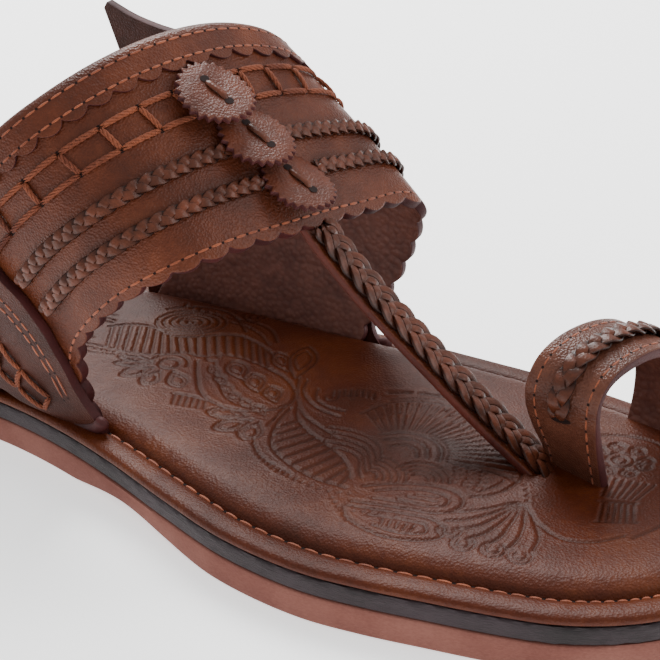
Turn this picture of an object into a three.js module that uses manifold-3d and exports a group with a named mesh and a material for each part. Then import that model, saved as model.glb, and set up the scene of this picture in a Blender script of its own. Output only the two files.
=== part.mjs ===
// Kolhapuri chappal for the right foot, in millimetres.
// +X points to the toe, +Y to the big-toe side and +Z up. The floor is at Z = 0.
// The origin lies on the floor under the middle of the heel.

import * as THREE from 'three';
import { mergeVertices } from 'three/addons/utils/BufferGeometryUtils.js';
import Module from 'manifold-3d';

const wasm = await Module();
wasm.setup();

// Driving dimensions
const soleLength = 280;
const ballWidth = 105;
const instepHeight = 106;

// Sole layers
const outsoleThickness = 7;
const midsoleThickness = 4.7;
const rimHeight = 1.9;
const clearance = 0.3;
const toeSpring = 4;
const waistLift = 2.7;
const edgeRound = 0.8;

// Footbed
const rimWidth = 6.4;
const grooveWidth = 1.6;
const grooveDepth = 1;
const cushionRise = 3;
const cushionShoulder = 7;
const shoulderFoot = 0.3;
const shoulderBend = { run: 0.35, rise: 0.75 };
const archRise = 4;

// Instep band
const bandWall = 2.8;
const bandCrown = 1.5;
const scallopWidth = 7.3;
const scallopDepth = 1.8;
const facingWidth = 8.6;
const facingStep = 1.2;
const facingStepRun = 0.1;

// Toe post strap and its braid
const postWidth = 11.5;
const postWall = 2.8;
const postBraidWidth = 8;
const postBraidHeight = 2;
const postBraidPitch = 6.4;
const braidWaist = 0.82;
const braidTopShare = 0.7;
const joinDepth = 1.7;

// Toe ring
const ringWall = 2.6;
const ringSpan = 31.6;
const ringHeight = 37;
const ringWidth = 16.8;
const ringTurn = THREE.MathUtils.degToRad(-18.4);

// Ears, plaits and rosettes
const earWall = 2.4;
const plaitWidth = 4.6;
const plaitHeight = 2.4;
const plaitPitch = 5;
const plaitWaist = 0.84;
const plaitTopShare = 0.65;
const rosetteRadius = 9.7;
const rosetteThickness = 1.5;
const rosetteTeeth = 22;
const toothDepth = 1.2;
const rosetteTilt = THREE.MathUtils.degToRad(16);

// Levels worked out from the layers
const midsoleFloor = outsoleThickness + clearance;
const midsoleTop = outsoleThickness + midsoleThickness;
const footLevel = midsoleTop + clearance;
const rimTop = footLevel + rimHeight;
const instepRise = instepHeight - footLevel;
const slotDrop = 0.1;
const shortestEdge = 0.05;

// Rows of faces across the band between facing and front edge, and across an ear, and stops that
// a plait's length is measured with
const bandMiddleRows = [0.45, 0.75];
const earRows = 7;
const plaitStops = 24;

// Places along and across the sole, as shares of soleLength and ballWidth
const heelCentre = { along: 0.186, across: 0.067 };
const waist = { start: 0.404, end: 0.593 };
const toeSpringStart = 0.8;
const arch = { along: 0.357, across: 0.362, reachAlong: 0.129, reachAcross: 0.19 };
const ringRear = { along: 0.789, across: 0.067 };

// Outline of the sole from heel to toe: shares of soleLength and ballWidth
const heelPoint = { along: 0, across: 0.067 };
const toePoint = { along: 1, across: 0 };
const soleSections = [
  { along: 0.018, lateral: -0.1, medial: 0.216 },
  { along: 0.054, lateral: -0.194, medial: 0.3 },
  { along: 0.107, lateral: -0.245, medial: 0.367 },
  { along: 0.214, lateral: -0.267, medial: 0.405 },
  { along: 0.321, lateral: -0.281, medial: 0.419 },
  { along: 0.393, lateral: -0.314, medial: 0.438 },
  { along: 0.464, lateral: -0.367, medial: 0.462 },
  { along: 0.536, lateral: -0.433, medial: 0.476 },
  { along: 0.607, lateral: -0.49, medial: 0.486 },
  { along: 0.679, lateral: -0.51, medial: 0.486 },
  { along: 0.732, lateral: -0.495, medial: 0.484 },
  { along: 0.786, lateral: -0.467, medial: 0.471 },
  { along: 0.839, lateral: -0.438, medial: 0.448 },
  { along: 0.875, lateral: -0.414, medial: 0.424 },
  { along: 0.914, lateral: -0.367, medial: 0.381 },
  { along: 0.946, lateral: -0.305, medial: 0.319 },
  { along: 0.982, lateral: -0.19, medial: 0.186 },
];

// The band's outer face from its lateral foot over the instep to its medial foot, at its back
// and front edges: X as shares of soleLength, Y of ballWidth and H of the instep's rise.
const bandSections = [
  { backX: 0.221, backY: -0.205, backH: 0, frontX: 0.421, frontY: -0.262, frontH: 0 },
  { backX: 0.234, backY: -0.267, backH: 0.16, frontX: 0.42, frontY: -0.3, frontH: 0.16 },
  { backX: 0.254, backY: -0.319, backH: 0.319, frontX: 0.434, frontY: -0.34, frontH: 0.282 },
  { backX: 0.282, backY: -0.362, backH: 0.489, frontX: 0.461, frontY: -0.362, frontH: 0.383 },
  { backX: 0.325, backY: -0.384, backH: 0.67, frontX: 0.493, frontY: -0.355, frontH: 0.473 },
  { backX: 0.373, backY: -0.357, backH: 0.819, frontX: 0.523, frontY: -0.322, frontH: 0.532 },
  { backX: 0.404, backY: -0.29, backH: 0.904, frontX: 0.545, frontY: -0.257, frontH: 0.564 },
  { backX: 0.429, backY: -0.181, backH: 0.965, frontX: 0.561, frontY: -0.157, frontH: 0.572 },
  { backX: 0.45, backY: -0.052, backH: 0.998, frontX: 0.574, frontY: -0.038, frontH: 0.562 },
  { backX: 0.468, backY: 0.081, backH: 1, frontX: 0.584, frontY: 0.086, frontH: 0.55 },
  { backX: 0.48, backY: 0.21, backH: 0.964, frontX: 0.595, frontY: 0.21, frontH: 0.535 },
  { backX: 0.483, backY: 0.31, backH: 0.9, frontX: 0.606, frontY: 0.324, frontH: 0.524 },
  { backX: 0.477, backY: 0.376, backH: 0.809, frontX: 0.612, frontY: 0.405, frontH: 0.484 },
  { backX: 0.455, backY: 0.417, backH: 0.67, frontX: 0.603, frontY: 0.438, frontH: 0.388 },
  { backX: 0.421, backY: 0.431, backH: 0.5, frontX: 0.588, frontY: 0.448, frontH: 0.277 },
  { backX: 0.382, backY: 0.421, backH: 0.319, frontX: 0.571, frontY: 0.438, frontH: 0.165 },
  { backX: 0.35, backY: 0.4, backH: 0.16, frontX: 0.557, frontY: 0.419, frontH: 0.08 },
  { backX: 0.329, backY: 0.371, backH: 0, frontX: 0.545, frontY: 0.4, frontH: 0 },
];
const lastSection = bandSections.length - 1;

// Outlines of the ears on the band's own surface, from the tip to the front foot: along as shares
// of the band's width, where below 0 is behind the back edge, and low and high as shares of half
// the girth up from the foot. Each stands on a long rear foot and a small front foot.
const earSections = {
  lateral: [
    { along: -1, low: 0.472, high: 0.482 },
    { along: -0.88, low: 0.452, high: 0.481 },
    { along: -0.72, low: 0.42, high: 0.484 },
    { along: -0.5, low: 0.355, high: 0.482 },
    { along: -0.3, low: 0.25, high: 0.47 },
    { along: -0.12, low: 0.13, high: 0.447 },
    { along: -0.02, low: 0, high: 0.44 },
    { along: 0.2, low: 0, high: 0.42 },
    { along: 0.38, low: 0, high: 0.398 },
    { along: 0.48, low: 0.06, high: 0.379 },
    { along: 0.62, low: 0.045, high: 0.353 },
    { along: 0.78, low: 0.035, high: 0.298 },
    { along: 0.87, low: 0.03, high: 0.245 },
    { along: 0.94, low: 0.03, high: 0.187 },
    { along: 1, low: 0, high: 0.1 },
    { along: 1.08, low: 0, high: 0.045 },
  ],
  medial: [
    { along: -1.16, low: 0.412, high: 0.421 },
    { along: -1, low: 0.382, high: 0.426 },
    { along: -0.85, low: 0.352, high: 0.437 },
    { along: -0.68, low: 0.308, high: 0.454 },
    { along: -0.45, low: 0.235, high: 0.466 },
    { along: -0.2, low: 0.13, high: 0.46 },
    { along: -0.02, low: 0, high: 0.44 },
    { along: 0.2, low: 0, high: 0.42 },
    { along: 0.38, low: 0, high: 0.398 },
    { along: 0.48, low: 0.06, high: 0.379 },
    { along: 0.62, low: 0.045, high: 0.353 },
    { along: 0.78, low: 0.035, high: 0.298 },
    { along: 0.87, low: 0.03, high: 0.245 },
    { along: 0.94, low: 0.03, high: 0.187 },
    { along: 1, low: 0, high: 0.1 },
    { along: 1.08, low: 0, high: 0.045 },
  ],
};

// Plaits and rosettes on the band: around as shares of its girth, along of its width
const plaitPlaces = [
  { name: 'plait_rear_lateral', along: 0.56, from: 0.19, to: 0.442 },
  { name: 'plait_rear_medial', along: 0.56, from: 0.54, to: 0.81 },
  { name: 'plait_front_lateral', along: 0.74, from: 0.169, to: 0.448 },
  { name: 'plait_front_medial', along: 0.74, from: 0.566, to: 0.831 },
];
const rosettePlaces = [
  { name: 'rosette_rear', around: 0.479, along: 0.3, lift: facingStep + clearance },
  { name: 'rosette_middle', around: 0.488, along: 0.548, lift: clearance },
  { name: 'rosette_front', around: 0.502, along: 0.79, lift: clearance },
];
const facingReach = { from: 0.27, to: 0.73 };

// Middle line of the toe post strap: the top of its flat face as shares of soleLength and
// ballWidth, and as a share of the fall from the band's front edge to the strap's slot.
const postAround = 0.515;
const braidStart = 0.16;
const postUnderBand = [0.72, 0.86, 0.98];
const postSections = [
  { along: 0.625, across: 0.05, up: 0.745 },
  { along: 0.69, across: 0.047, up: 0.475 },
  { along: 0.75, across: 0.044, up: 0.24 },
  { along: 0.786, across: 0.042, up: 0.11 },
  { along: 0.803, across: 0.042, up: 0.035 },
  { along: 0.808, across: 0.042, up: 0 },
];

// Toe ring from its near foot to its far foot: across as shares of ringSpan, up of ringHeight
const ringSections = [
  { rearAcross: 0.03, rearUp: 0, frontAcross: 0.06, frontUp: 0 },
  { rearAcross: -0.03, rearUp: 0.23, frontAcross: -0.03, frontUp: 0.24 },
  { rearAcross: -0.16, rearUp: 0.43, frontAcross: -0.09, frontUp: 0.44 },
  { rearAcross: -0.26, rearUp: 0.63, frontAcross: -0.12, frontUp: 0.62 },
  { rearAcross: -0.26, rearUp: 0.79, frontAcross: -0.1, frontUp: 0.76 },
  { rearAcross: -0.14, rearUp: 0.93, frontAcross: 0.01, frontUp: 0.88 },
  { rearAcross: 0.1, rearUp: 1, frontAcross: 0.22, frontUp: 0.94 },
  { rearAcross: 0.42, rearUp: 0.995, frontAcross: 0.49, frontUp: 0.945 },
  { rearAcross: 0.71, rearUp: 0.92, frontAcross: 0.78, frontUp: 0.88 },
  { rearAcross: 0.93, rearUp: 0.77, frontAcross: 0.98, frontUp: 0.73 },
  { rearAcross: 1.06, rearUp: 0.55, frontAcross: 1.11, frontUp: 0.53 },
  { rearAcross: 1.08, rearUp: 0.3, frontAcross: 1.12, frontUp: 0.29 },
  { rearAcross: 1.01, rearUp: 0, frontAcross: 1.06, frontUp: 0 },
];
const ringPlaitReach = { from: 2.9, to: 9.6 };

const leatherBrown = new THREE.MeshStandardMaterial({ color: 0x6a3a26, roughness: 0.5, metalness: 0 });
const earBrown = new THREE.MeshStandardMaterial({ color: 0x64372a, roughness: 0.52, metalness: 0 });
const plaitBrown = new THREE.MeshStandardMaterial({ color: 0x5a3328, roughness: 0.55, metalness: 0 });
const rosetteBrown = new THREE.MeshStandardMaterial({ color: 0x5f382a, roughness: 0.6, metalness: 0 });
const footbedBrown = new THREE.MeshStandardMaterial({ color: 0x6b3b27, roughness: 0.42, metalness: 0 });
const midsoleBrown = new THREE.MeshStandardMaterial({ color: 0x2c1d18, roughness: 0.75, metalness: 0 });
const outsolePink = new THREE.MeshStandardMaterial({ color: 0x97615a, roughness: 0.8, metalness: 0 });

// Smooth value of one column of a table, at a place counted in rows
function columnAt(rows, column, place) {
  const last = rows.length - 1;
  const at = THREE.MathUtils.clamp(place, 0, last);
  const row = Math.min(Math.floor(at), last - 1);
  const part = at - row;
  const before = rows[Math.max(row - 1, 0)][column];
  const here = rows[row][column];
  const next = rows[row + 1][column];
  const after = rows[Math.min(row + 2, last)][column];
  const bend = -before + 3 * here - 3 * next + after;
  const lean = 2 * before - 5 * here + 4 * next - after;
  return 0.5 * (2 * here + (next - before) * part + lean * part ** 2 + bend * part ** 3);
}

// A closed solid from points and triangles, turned outward if its volume comes out negative
function solidFrom(points, triangles) {
  const geometry = new THREE.BufferGeometry();
  const coordinates = points.flatMap((point) => [point.x, point.y, point.z]);
  geometry.setAttribute('position', new THREE.Float32BufferAttribute(coordinates, 3));
  let volume = 0;
  for (const [a, b, c] of triangles) {
    volume += points[a].dot(points[b].clone().cross(points[c]));
  }
  const outward = volume > 0 ? triangles : triangles.map(([a, b, c]) => [a, c, b]);
  geometry.setIndex(outward.flat());
  return geometry;
}

function manifoldOf(geometry) {
  const bare = geometry.clone();
  bare.deleteAttribute('normal');
  bare.deleteAttribute('uv');
  const merged = mergeVertices(bare, 1e-4);
  const vertProperties = new Float32Array(merged.attributes.position.array);
  const triVerts = new Uint32Array(merged.index.array);
  return new wasm.Manifold(new wasm.Mesh({ numProp: 3, vertProperties, triVerts }));
}

function geometryOf(manifold) {
  const mesh = manifold.getMesh();
  const geometry = new THREE.BufferGeometry();
  const positions = new Float32Array(mesh.numVert * 3);
  for (let vertex = 0; vertex < mesh.numVert; vertex += 1) {
    for (let axis = 0; axis < 3; axis += 1) {
      positions[vertex * 3 + axis] = mesh.vertProperties[vertex * mesh.numProp + axis];
    }
  }
  geometry.setAttribute('position', new THREE.BufferAttribute(positions, 3));
  geometry.setIndex(new THREE.BufferAttribute(new Uint32Array(mesh.triVerts), 1));
  return geometry;
}

// A wall between an outer and an inner grid of points, closed all round its edge
function wallSolid(columns, rows, outerAt, innerAt) {
  const points = [];
  const triangles = [];
  const size = (columns + 1) * (rows + 1);
  for (const pointAt of [outerAt, innerAt]) {
    for (let column = 0; column <= columns; column += 1) {
      for (let row = 0; row <= rows; row += 1) {
        points.push(pointAt(column, row));
      }
    }
  }
  const outer = (column, row) => column * (rows + 1) + row;
  const inner = (column, row) => size + outer(column, row);
  const quad = (a, b, c, d) => triangles.push([a, b, c], [a, c, d]);
  for (let column = 0; column < columns; column += 1) {
    const next = column + 1;
    for (let row = 0; row < rows; row += 1) {
      quad(outer(column, row), outer(next, row), outer(next, row + 1), outer(column, row + 1));
      quad(inner(column, row), inner(column, row + 1), inner(next, row + 1), inner(next, row));
    }
    quad(outer(column, 0), inner(column, 0), inner(next, 0), outer(next, 0));
    quad(outer(column, rows), outer(next, rows), inner(next, rows), inner(column, rows));
  }
  for (let row = 0; row < rows; row += 1) {
    quad(outer(0, row), outer(0, row + 1), inner(0, row + 1), inner(0, row));
    quad(outer(columns, row), inner(columns, row), inner(columns, row + 1), outer(columns, row + 1));
  }
  return solidFrom(points, triangles);
}

// A bar through rings of points, whose flat ends fan out from the rings' first point
function barSolid(rings) {
  const sides = rings[0].length;
  const points = rings.flat();
  const triangles = [];
  for (let ring = 0; ring < rings.length - 1; ring += 1) {
    for (let side = 0; side < sides; side += 1) {
      const a = ring * sides + side;
      const b = ring * sides + ((side + 1) % sides);
      triangles.push([a, b, b + sides], [a, b + sides, a + sides]);
    }
  }
  const last = (rings.length - 1) * sides;
  for (let side = 1; side < sides - 1; side += 1) {
    triangles.push([0, side + 1, side], [last, last + side, last + side + 1]);
  }
  return solidFrom(points, triangles);
}

// The sole's outline as two sides, each with the same number of points from heel to toe
const outlineSteps = 44;
const endCrowding = 0.085;

function outlineSides() {
  const at = (along, across) => new THREE.Vector3(along * soleLength, across * ballWidth, 0);
  const lateral = soleSections.map((row) => at(row.along, row.lateral));
  const medial = soleSections.map((row) => at(row.along, row.medial)).reverse();
  const heel = at(heelPoint.along, heelPoint.across);
  const knots = [heel, ...lateral, at(toePoint.along, toePoint.across), ...medial];
  const curve = new THREE.CatmullRomCurve3(knots, true, 'centripetal');
  const fine = 24;
  const pointsBetween = (from, to) => {
    const points = [];
    for (let step = from * fine; step <= to * fine; step += 1) {
      points.push(curve.getPoint((step / (knots.length * fine)) % 1));
    }
    return points;
  };
  const toe = soleSections.length + 1;
  return {
    lateral: spaced(pointsBetween(0, toe), outlineSteps),
    medial: spaced(pointsBetween(toe, knots.length).reverse(), outlineSteps),
  };
}

// Points spaced by length along a chain of points, closer together towards its two ends
function spaced(chain, steps) {
  const lengths = [0];
  for (let k = 1; k < chain.length; k += 1) {
    lengths.push(lengths[k - 1] + chain[k].distanceTo(chain[k - 1]));
  }
  const total = lengths[lengths.length - 1];
  const points = [];
  let k = 1;
  for (let step = 0; step <= steps; step += 1) {
    const share = step / steps;
    const target = total * (share - endCrowding * Math.sin(2 * Math.PI * share));
    while (k < chain.length - 1 && lengths[k] < target) {
      k += 1;
    }
    const part = (target - lengths[k - 1]) / (lengths[k] - lengths[k - 1]);
    points.push(chain[k - 1].clone().lerp(chain[k], part));
  }
  return points;
}

const sides = outlineSides();
const outline = [...sides.lateral, ...sides.medial.slice(1, -1).reverse()];

// The outline moved inward by an inset
function outlineRing(inset) {
  const count = outline.length;
  return outline.map((point, k) => {
    const run = outline[(k + 1) % count].clone().sub(outline[(k + count - 1) % count]).normalize();
    return new THREE.Vector3(point.x - run.y * inset, point.y + run.x * inset, 0);
  });
}

// A plate of the sole's outline: rings from its underside to its top, each an inset and a level
// as a function of x and y, with the underside and the top filled across.
function plateSolid(rings, top, fillSteps) {
  const points = [];
  const triangles = [];
  const count = outline.length;
  for (const ring of rings) {
    for (const point of outlineRing(ring.inset)) {
      points.push(new THREE.Vector3(point.x, point.y, ring.level(point.x, point.y)));
    }
  }
  for (let ring = 0; ring < rings.length - 1; ring += 1) {
    for (let k = 0; k < count; k += 1) {
      const a = ring * count + k;
      const b = ring * count + ((k + 1) % count);
      triangles.push([a, b, b + count], [a, b + count, a + count]);
    }
  }
  const addFace = (a, b, c, turned) => {
    if (a !== b && b !== c && c !== a) {
      triangles.push(turned ? [a, c, b] : [a, b, c]);
    }
  };
  const fill = (start, level, turned) => {
    const rowAt = (k) => {
      const ends = [start + k, start + ((count - k) % count)];
      const row = [ends[0]];
      for (let step = 1; step < fillSteps && ends[0] !== ends[1]; step += 1) {
        const point = points[ends[0]].clone().lerp(points[ends[1]], step / fillSteps);
        point.z = level(point.x, point.y);
        row.push(points.length);
        points.push(point);
      }
      row.push(ends[1]);
      return row;
    };
    const pick = (row, step) => (row.length > fillSteps ? row[step] : row[0]);
    let before = rowAt(0);
    for (let k = 1; k <= outlineSteps; k += 1) {
      const row = rowAt(k);
      for (let step = 0; step < fillSteps; step += 1) {
        addFace(pick(before, step), pick(before, step + 1), pick(row, step + 1), turned);
        addFace(pick(before, step), pick(row, step + 1), pick(row, step), turned);
      }
      before = row;
    }
  };
  fill(0, rings[0].level, false);
  fill((rings.length - 1) * count, top, true);
  return solidFrom(points, triangles);
}

// Rise of the whole sole towards the toe
function springAt(x) {
  const start = toeSpringStart * soleLength;
  return toeSpring * Math.max(0, (x - start) / (soleLength - start)) ** 2;
}

// Lift of the outsole's underside between the heel tread and the ball
function waistAt(x) {
  const part = THREE.MathUtils.clamp((x / soleLength - waist.start) / (waist.end - waist.start), 0, 1);
  return waistLift * Math.sin(Math.PI * part ** 0.8) ** 2;
}

// Rise of the cushion under the arch of the foot
function archAt(x, y) {
  const along = (x / soleLength - arch.along) / arch.reachAlong;
  const across = (y / ballWidth - arch.across) / arch.reachAcross;
  return archRise * Math.exp(-(along ** 2) - across ** 2);
}

function outsoleSolid() {
  const floor = (x) => springAt(x) + waistAt(x);
  const top = (x) => springAt(x) + outsoleThickness;
  return plateSolid([
    { inset: edgeRound, level: floor },
    { inset: 0, level: (x) => floor(x) + edgeRound },
    { inset: 0, level: top },
  ], top, 2);
}

function midsoleSolid() {
  const top = (x) => springAt(x) + midsoleTop;
  return plateSolid([
    { inset: edgeRound / 2, level: (x) => springAt(x) + midsoleFloor },
    { inset: 0, level: (x) => springAt(x) + midsoleFloor + edgeRound / 2 },
    { inset: 0, level: (x) => top(x) - edgeRound / 2 },
    { inset: edgeRound / 2, level: top },
  ], top, 2);
}

// The footbed: a rounded flat rim, a groove for the stitches and a padded cushion
function footbedSolid() {
  const raised = (rise, archShare) => (x, y) => springAt(x) + rimTop + rise + archShare * archAt(x, y);
  const grooveFloor = (x) => springAt(x) + rimTop - grooveDepth;
  const shoulderStart = rimWidth + grooveWidth;
  return plateSolid([
    { inset: edgeRound, level: (x) => springAt(x) + footLevel },
    { inset: 0, level: (x) => springAt(x) + footLevel + edgeRound },
    { inset: edgeRound, level: raised(0, 0) },
    { inset: rimWidth, level: raised(0, 0) },
    { inset: rimWidth + grooveWidth / 2, level: grooveFloor },
    { inset: shoulderStart, level: raised(cushionRise * shoulderFoot, shoulderFoot) },
    {
      inset: shoulderStart + cushionShoulder * shoulderBend.run,
      level: raised(cushionRise * shoulderBend.rise, shoulderBend.rise),
    },
    { inset: shoulderStart + cushionShoulder, level: raised(cushionRise, 1) },
  ], raised(cushionRise, 1), 5);
}

// A point of the band's outer face, ruled between its back and its front edge
function bandRuled(around, along) {
  const place = around * lastSection;
  const share = (edge) => new THREE.Vector3(
    columnAt(bandSections, `${edge}X`, place) * soleLength,
    columnAt(bandSections, `${edge}Y`, place) * ballWidth,
    columnAt(bandSections, `${edge}H`, place) * instepRise + footLevel,
  );
  const back = share('back');
  return back.add(share('front').sub(back).multiplyScalar(along));
}

// Outward normal of a face given by two shares
function normalOf(faceAt, first, second) {
  const tiny = 0.002;
  const start = Math.max(first - tiny, 0);
  const end = Math.min(first + tiny, 1);
  const run = faceAt(end, second).sub(faceAt(start, second));
  const width = faceAt(first, second + tiny).sub(faceAt(first, second - tiny));
  return width.cross(run).normalize();
}

// The band's outer face with its crown, lifted outward; its feet end in their slots
function bandFace(around, along, lift) {
  const inside = THREE.MathUtils.clamp(along, 0, 1);
  const crown = bandCrown * 4 * inside * (1 - inside);
  const normal = normalOf(bandRuled, around, along);
  const point = bandRuled(around, along).addScaledVector(normal, crown + lift);
  return endInSlot(point, around <= 0 || around >= 1);
}

// No point lies below the feet's level, and those of a foot's end lie on it
function endInSlot(point, isEnd) {
  const level = footLevel + springAt(point.x);
  point.z = isEnd ? level : Math.max(point.z, level);
  return point;
}

// Even places around the band, measured along its front edge
const bandStations = (() => {
  const fine = lastSection * 40;
  const arounds = Array.from({ length: fine + 1 }, (_, k) => k / fine);
  const lengths = [0];
  for (let k = 1; k <= fine; k += 1) {
    const step = bandRuled(arounds[k], 1).distanceTo(bandRuled(arounds[k - 1], 1));
    lengths.push(lengths[k - 1] + step);
  }
  const girth = lengths[fine];
  const scallops = Math.round(girth / scallopWidth);
  const pointsPerScallop = 4;
  const count = scallops * pointsPerScallop;
  return Array.from({ length: count + 1 }, (_, k) => {
    const at = lengths.findIndex((length) => length >= (girth * k) / count - 1e-6);
    const swing = Math.sin((Math.PI * (k % pointsPerScallop)) / pointsPerScallop);
    const nearFoot = Math.min(k, count - k) < pointsPerScallop;
    return { around: arounds[at], valley: nearFoot ? 0 : 1 - swing };
  });
})();

const bandWidth = bandRuled(0.5, 0).distanceTo(bandRuled(0.5, 1));

function bandSolid() {
  const facingShare = facingWidth / bandWidth;
  const stepRun = facingStepRun / bandWidth;
  const alongRows = [0, facingShare, facingShare + stepRun, ...bandMiddleRows, 1];
  const last = alongRows.length - 1;
  const alongAt = (station, row) => {
    const cut = row === last ? (station.valley * scallopDepth) / bandWidth : 0;
    return alongRows[row] - cut;
  };
  const outerAt = (column, row) => {
    const station = bandStations[column];
    const faced = row < 2 && station.around > facingReach.from && station.around < facingReach.to;
    return bandFace(station.around, alongAt(station, row), faced ? facingStep : 0);
  };
  const innerAt = (column, row) => {
    const station = bandStations[column];
    return bandFace(station.around, alongAt(station, row), -bandWall);
  };
  return wallSolid(bandStations.length - 1, last, outerAt, innerAt);
}

// Middle line of the toe post strap, from under the band to its slot beside the toe ring
function postLine() {
  const frontEdge = bandRuled(postAround, 1).z - footLevel;
  const under = postUnderBand.map((along) => bandFace(postAround, along, -joinDepth));
  const free = postSections.map((row) => new THREE.Vector3(
    row.along * soleLength,
    row.across * ballWidth,
    row.up * frontEdge + footLevel,
  ));
  return new THREE.CatmullRomCurve3([...under, ...free], false, 'centripetal');
}

function postSolid() {
  const line = postLine();
  const steps = Math.round((2 * line.getLength()) / postBraidPitch);
  const acrossWay = new THREE.Vector3(0, 1, 0);
  const rings = [];
  for (let step = 0; step <= steps; step += 1) {
    const share = step / steps;
    const point = line.getPointAt(share);
    const normal = line.getTangentAt(share).cross(acrossWay).normalize();
    const lobe = step % 2 === 0 ? 1 : braidWaist;
    const rise = share < braidStart ? clearance : postBraidHeight * lobe;
    const half = postWidth / 2;
    const braid = (postBraidWidth / 2) * lobe;
    const section = [
      [0, -postWall], [-half, -postWall], [-half, 0], [-braid, 0], [-braid * braidTopShare, rise],
      [braid * braidTopShare, rise], [braid, 0], [half, 0], [half, -postWall],
    ];
    const ring = section.map(([across, up]) => point.clone()
      .addScaledVector(acrossWay, across).addScaledVector(normal, up));
    rings.push(ring.map((corner) => endInSlot(corner, step === steps)));
  }
  return barSolid(rings);
}

// A point of the toe ring's outer face: place in rows of its table, across from rear to front
function ringFace(place, across, lift) {
  const last = ringSections.length - 1;
  const runWay = new THREE.Vector3(Math.sin(-ringTurn), Math.cos(ringTurn), 0);
  const widthWay = new THREE.Vector3(Math.cos(ringTurn), Math.sin(ringTurn), 0);
  const start = new THREE.Vector3(ringRear.along * soleLength, ringRear.across * ballWidth, footLevel);
  const plain = (share, part) => {
    const row = share * last;
    const blend = (rear, front) => THREE.MathUtils.lerp(
      columnAt(ringSections, rear, row),
      columnAt(ringSections, front, row),
      part,
    );
    const point = start.clone().addScaledVector(runWay, blend('rearAcross', 'frontAcross') * ringSpan);
    point.addScaledVector(widthWay, part * ringWidth);
    point.z += blend('rearUp', 'frontUp') * ringHeight;
    return point;
  };
  const point = plain(place / last, across);
  point.addScaledVector(normalOf(plain, place / last, across), lift);
  return endInSlot(point, place <= 0 || place >= last);
}

function ringSolid() {
  const stepsPerRow = 2;
  const columns = (ringSections.length - 1) * stepsPerRow;
  const faceAt = (lift) => (column, row) => ringFace(column / stepsPerRow, row, lift);
  return wallSolid(columns, 1, faceAt(0), faceAt(-ringWall));
}

// An ear: a flap on the band's outer face that runs on behind its back edge to a point
function earSolid(side) {
  const sections = earSections[side];
  const columns = sections.length - 1;
  const pointAt = (lift) => (column, row) => {
    const section = sections[column];
    const height = THREE.MathUtils.lerp(section.low, section.high, row / earRows) / 2;
    const around = side === 'lateral' ? height : 1 - height;
    return bandFace(around, section.along, lift);
  };
  return wallSolid(columns, earRows, pointAt(clearance + earWall), pointAt(clearance));
}

// A 3-ply plait along a face: its lobes swell and narrow once a pitch
function plaitSolid(faceAt) {
  const stops = Array.from({ length: plaitStops + 1 }, (_, k) => faceAt(k / plaitStops, 0, 0));
  const length = stops.slice(1).reduce((sum, stop, k) => sum + stop.distanceTo(stops[k]), 0);
  const steps = 2 * Math.round(length / plaitPitch);
  const middle = plaitHeight / 2 + clearance;
  const rings = [];
  for (let step = 0; step <= steps; step += 1) {
    const lobe = step % 2 === 0 ? 1 : plaitWaist;
    const half = (plaitWidth / 2) * lobe;
    const flat = half * plaitTopShare;
    const top = plaitHeight * lobe + clearance;
    const section = [
      [-half, middle], [-flat, top], [flat, top],
      [half, middle], [flat, clearance], [-flat, clearance],
    ];
    rings.push(section.map(([across, lift]) => faceAt(step / steps, across, lift)));
  }
  return barSolid(rings);
}

function bandPlaitSolid(place) {
  return plaitSolid((share, across, lift) => bandFace(
    THREE.MathUtils.lerp(place.from, place.to, share),
    place.along + across / bandWidth,
    lift,
  ));
}

function ringPlaitSolid() {
  return plaitSolid((share, across, lift) => ringFace(
    THREE.MathUtils.lerp(ringPlaitReach.from, ringPlaitReach.to, share),
    0.5 + across / ringWidth,
    lift,
  ));
}

// A toothed leather disc about its own middle, with its underside at Z = 0
function rosetteGeometry() {
  const shape = new THREE.Shape();
  for (let k = 0; k < rosetteTeeth * 2; k += 1) {
    const angle = (Math.PI * k) / rosetteTeeth;
    const radius = rosetteRadius - (k % 2) * toothDepth;
    const move = k === 0 ? 'moveTo' : 'lineTo';
    shape[move](radius * Math.cos(angle), radius * Math.sin(angle));
  }
  shape.closePath();
  return new THREE.ExtrudeGeometry(shape, { depth: rosetteThickness, bevelEnabled: false });
}

// Each rosette leans on the one in front of it, like a shingle
function rosetteMesh(place) {
  const mesh = new THREE.Mesh(rosetteGeometry(), rosetteBrown);
  const face = (around, along) => bandFace(around, along, 0);
  const normal = normalOf(face, place.around, place.along);
  const reach = rosetteRadius / bandWidth;
  const forward = face(place.around, place.along + reach).sub(face(place.around, place.along - reach));
  forward.addScaledVector(normal, -forward.dot(normal)).normalize();
  const sideways = normal.clone().cross(forward).normalize();
  const frame = new THREE.Matrix4().makeBasis(forward, sideways, normal);
  const tilt = new THREE.Matrix4().makeRotationY(-rosetteTilt);
  const lift = place.lift + rosetteRadius * Math.sin(rosetteTilt);
  mesh.quaternion.setFromRotationMatrix(frame.multiply(tilt));
  mesh.position.copy(bandFace(place.around, place.along, lift));
  mesh.name = place.name;
  return mesh;
}

function namedMesh(name, geometry, material) {
  const mesh = new THREE.Mesh(geometry, material);
  mesh.name = name;
  return mesh;
}

// The footbed's slots: each piece that passes through is taken away in its place, and in four
// places around it a clearance away and a little lower
function cutSlots(body, geometry) {
  let left = body.subtract(manifoldOf(geometry));
  for (const [x, y] of [[1, 0], [0, 1], [-1, 0], [0, -1]]) {
    const moved = geometry.clone().translate(x * clearance, y * clearance, -slotDrop);
    left = left.subtract(manifoldOf(moved));
  }
  return left;
}

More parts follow.
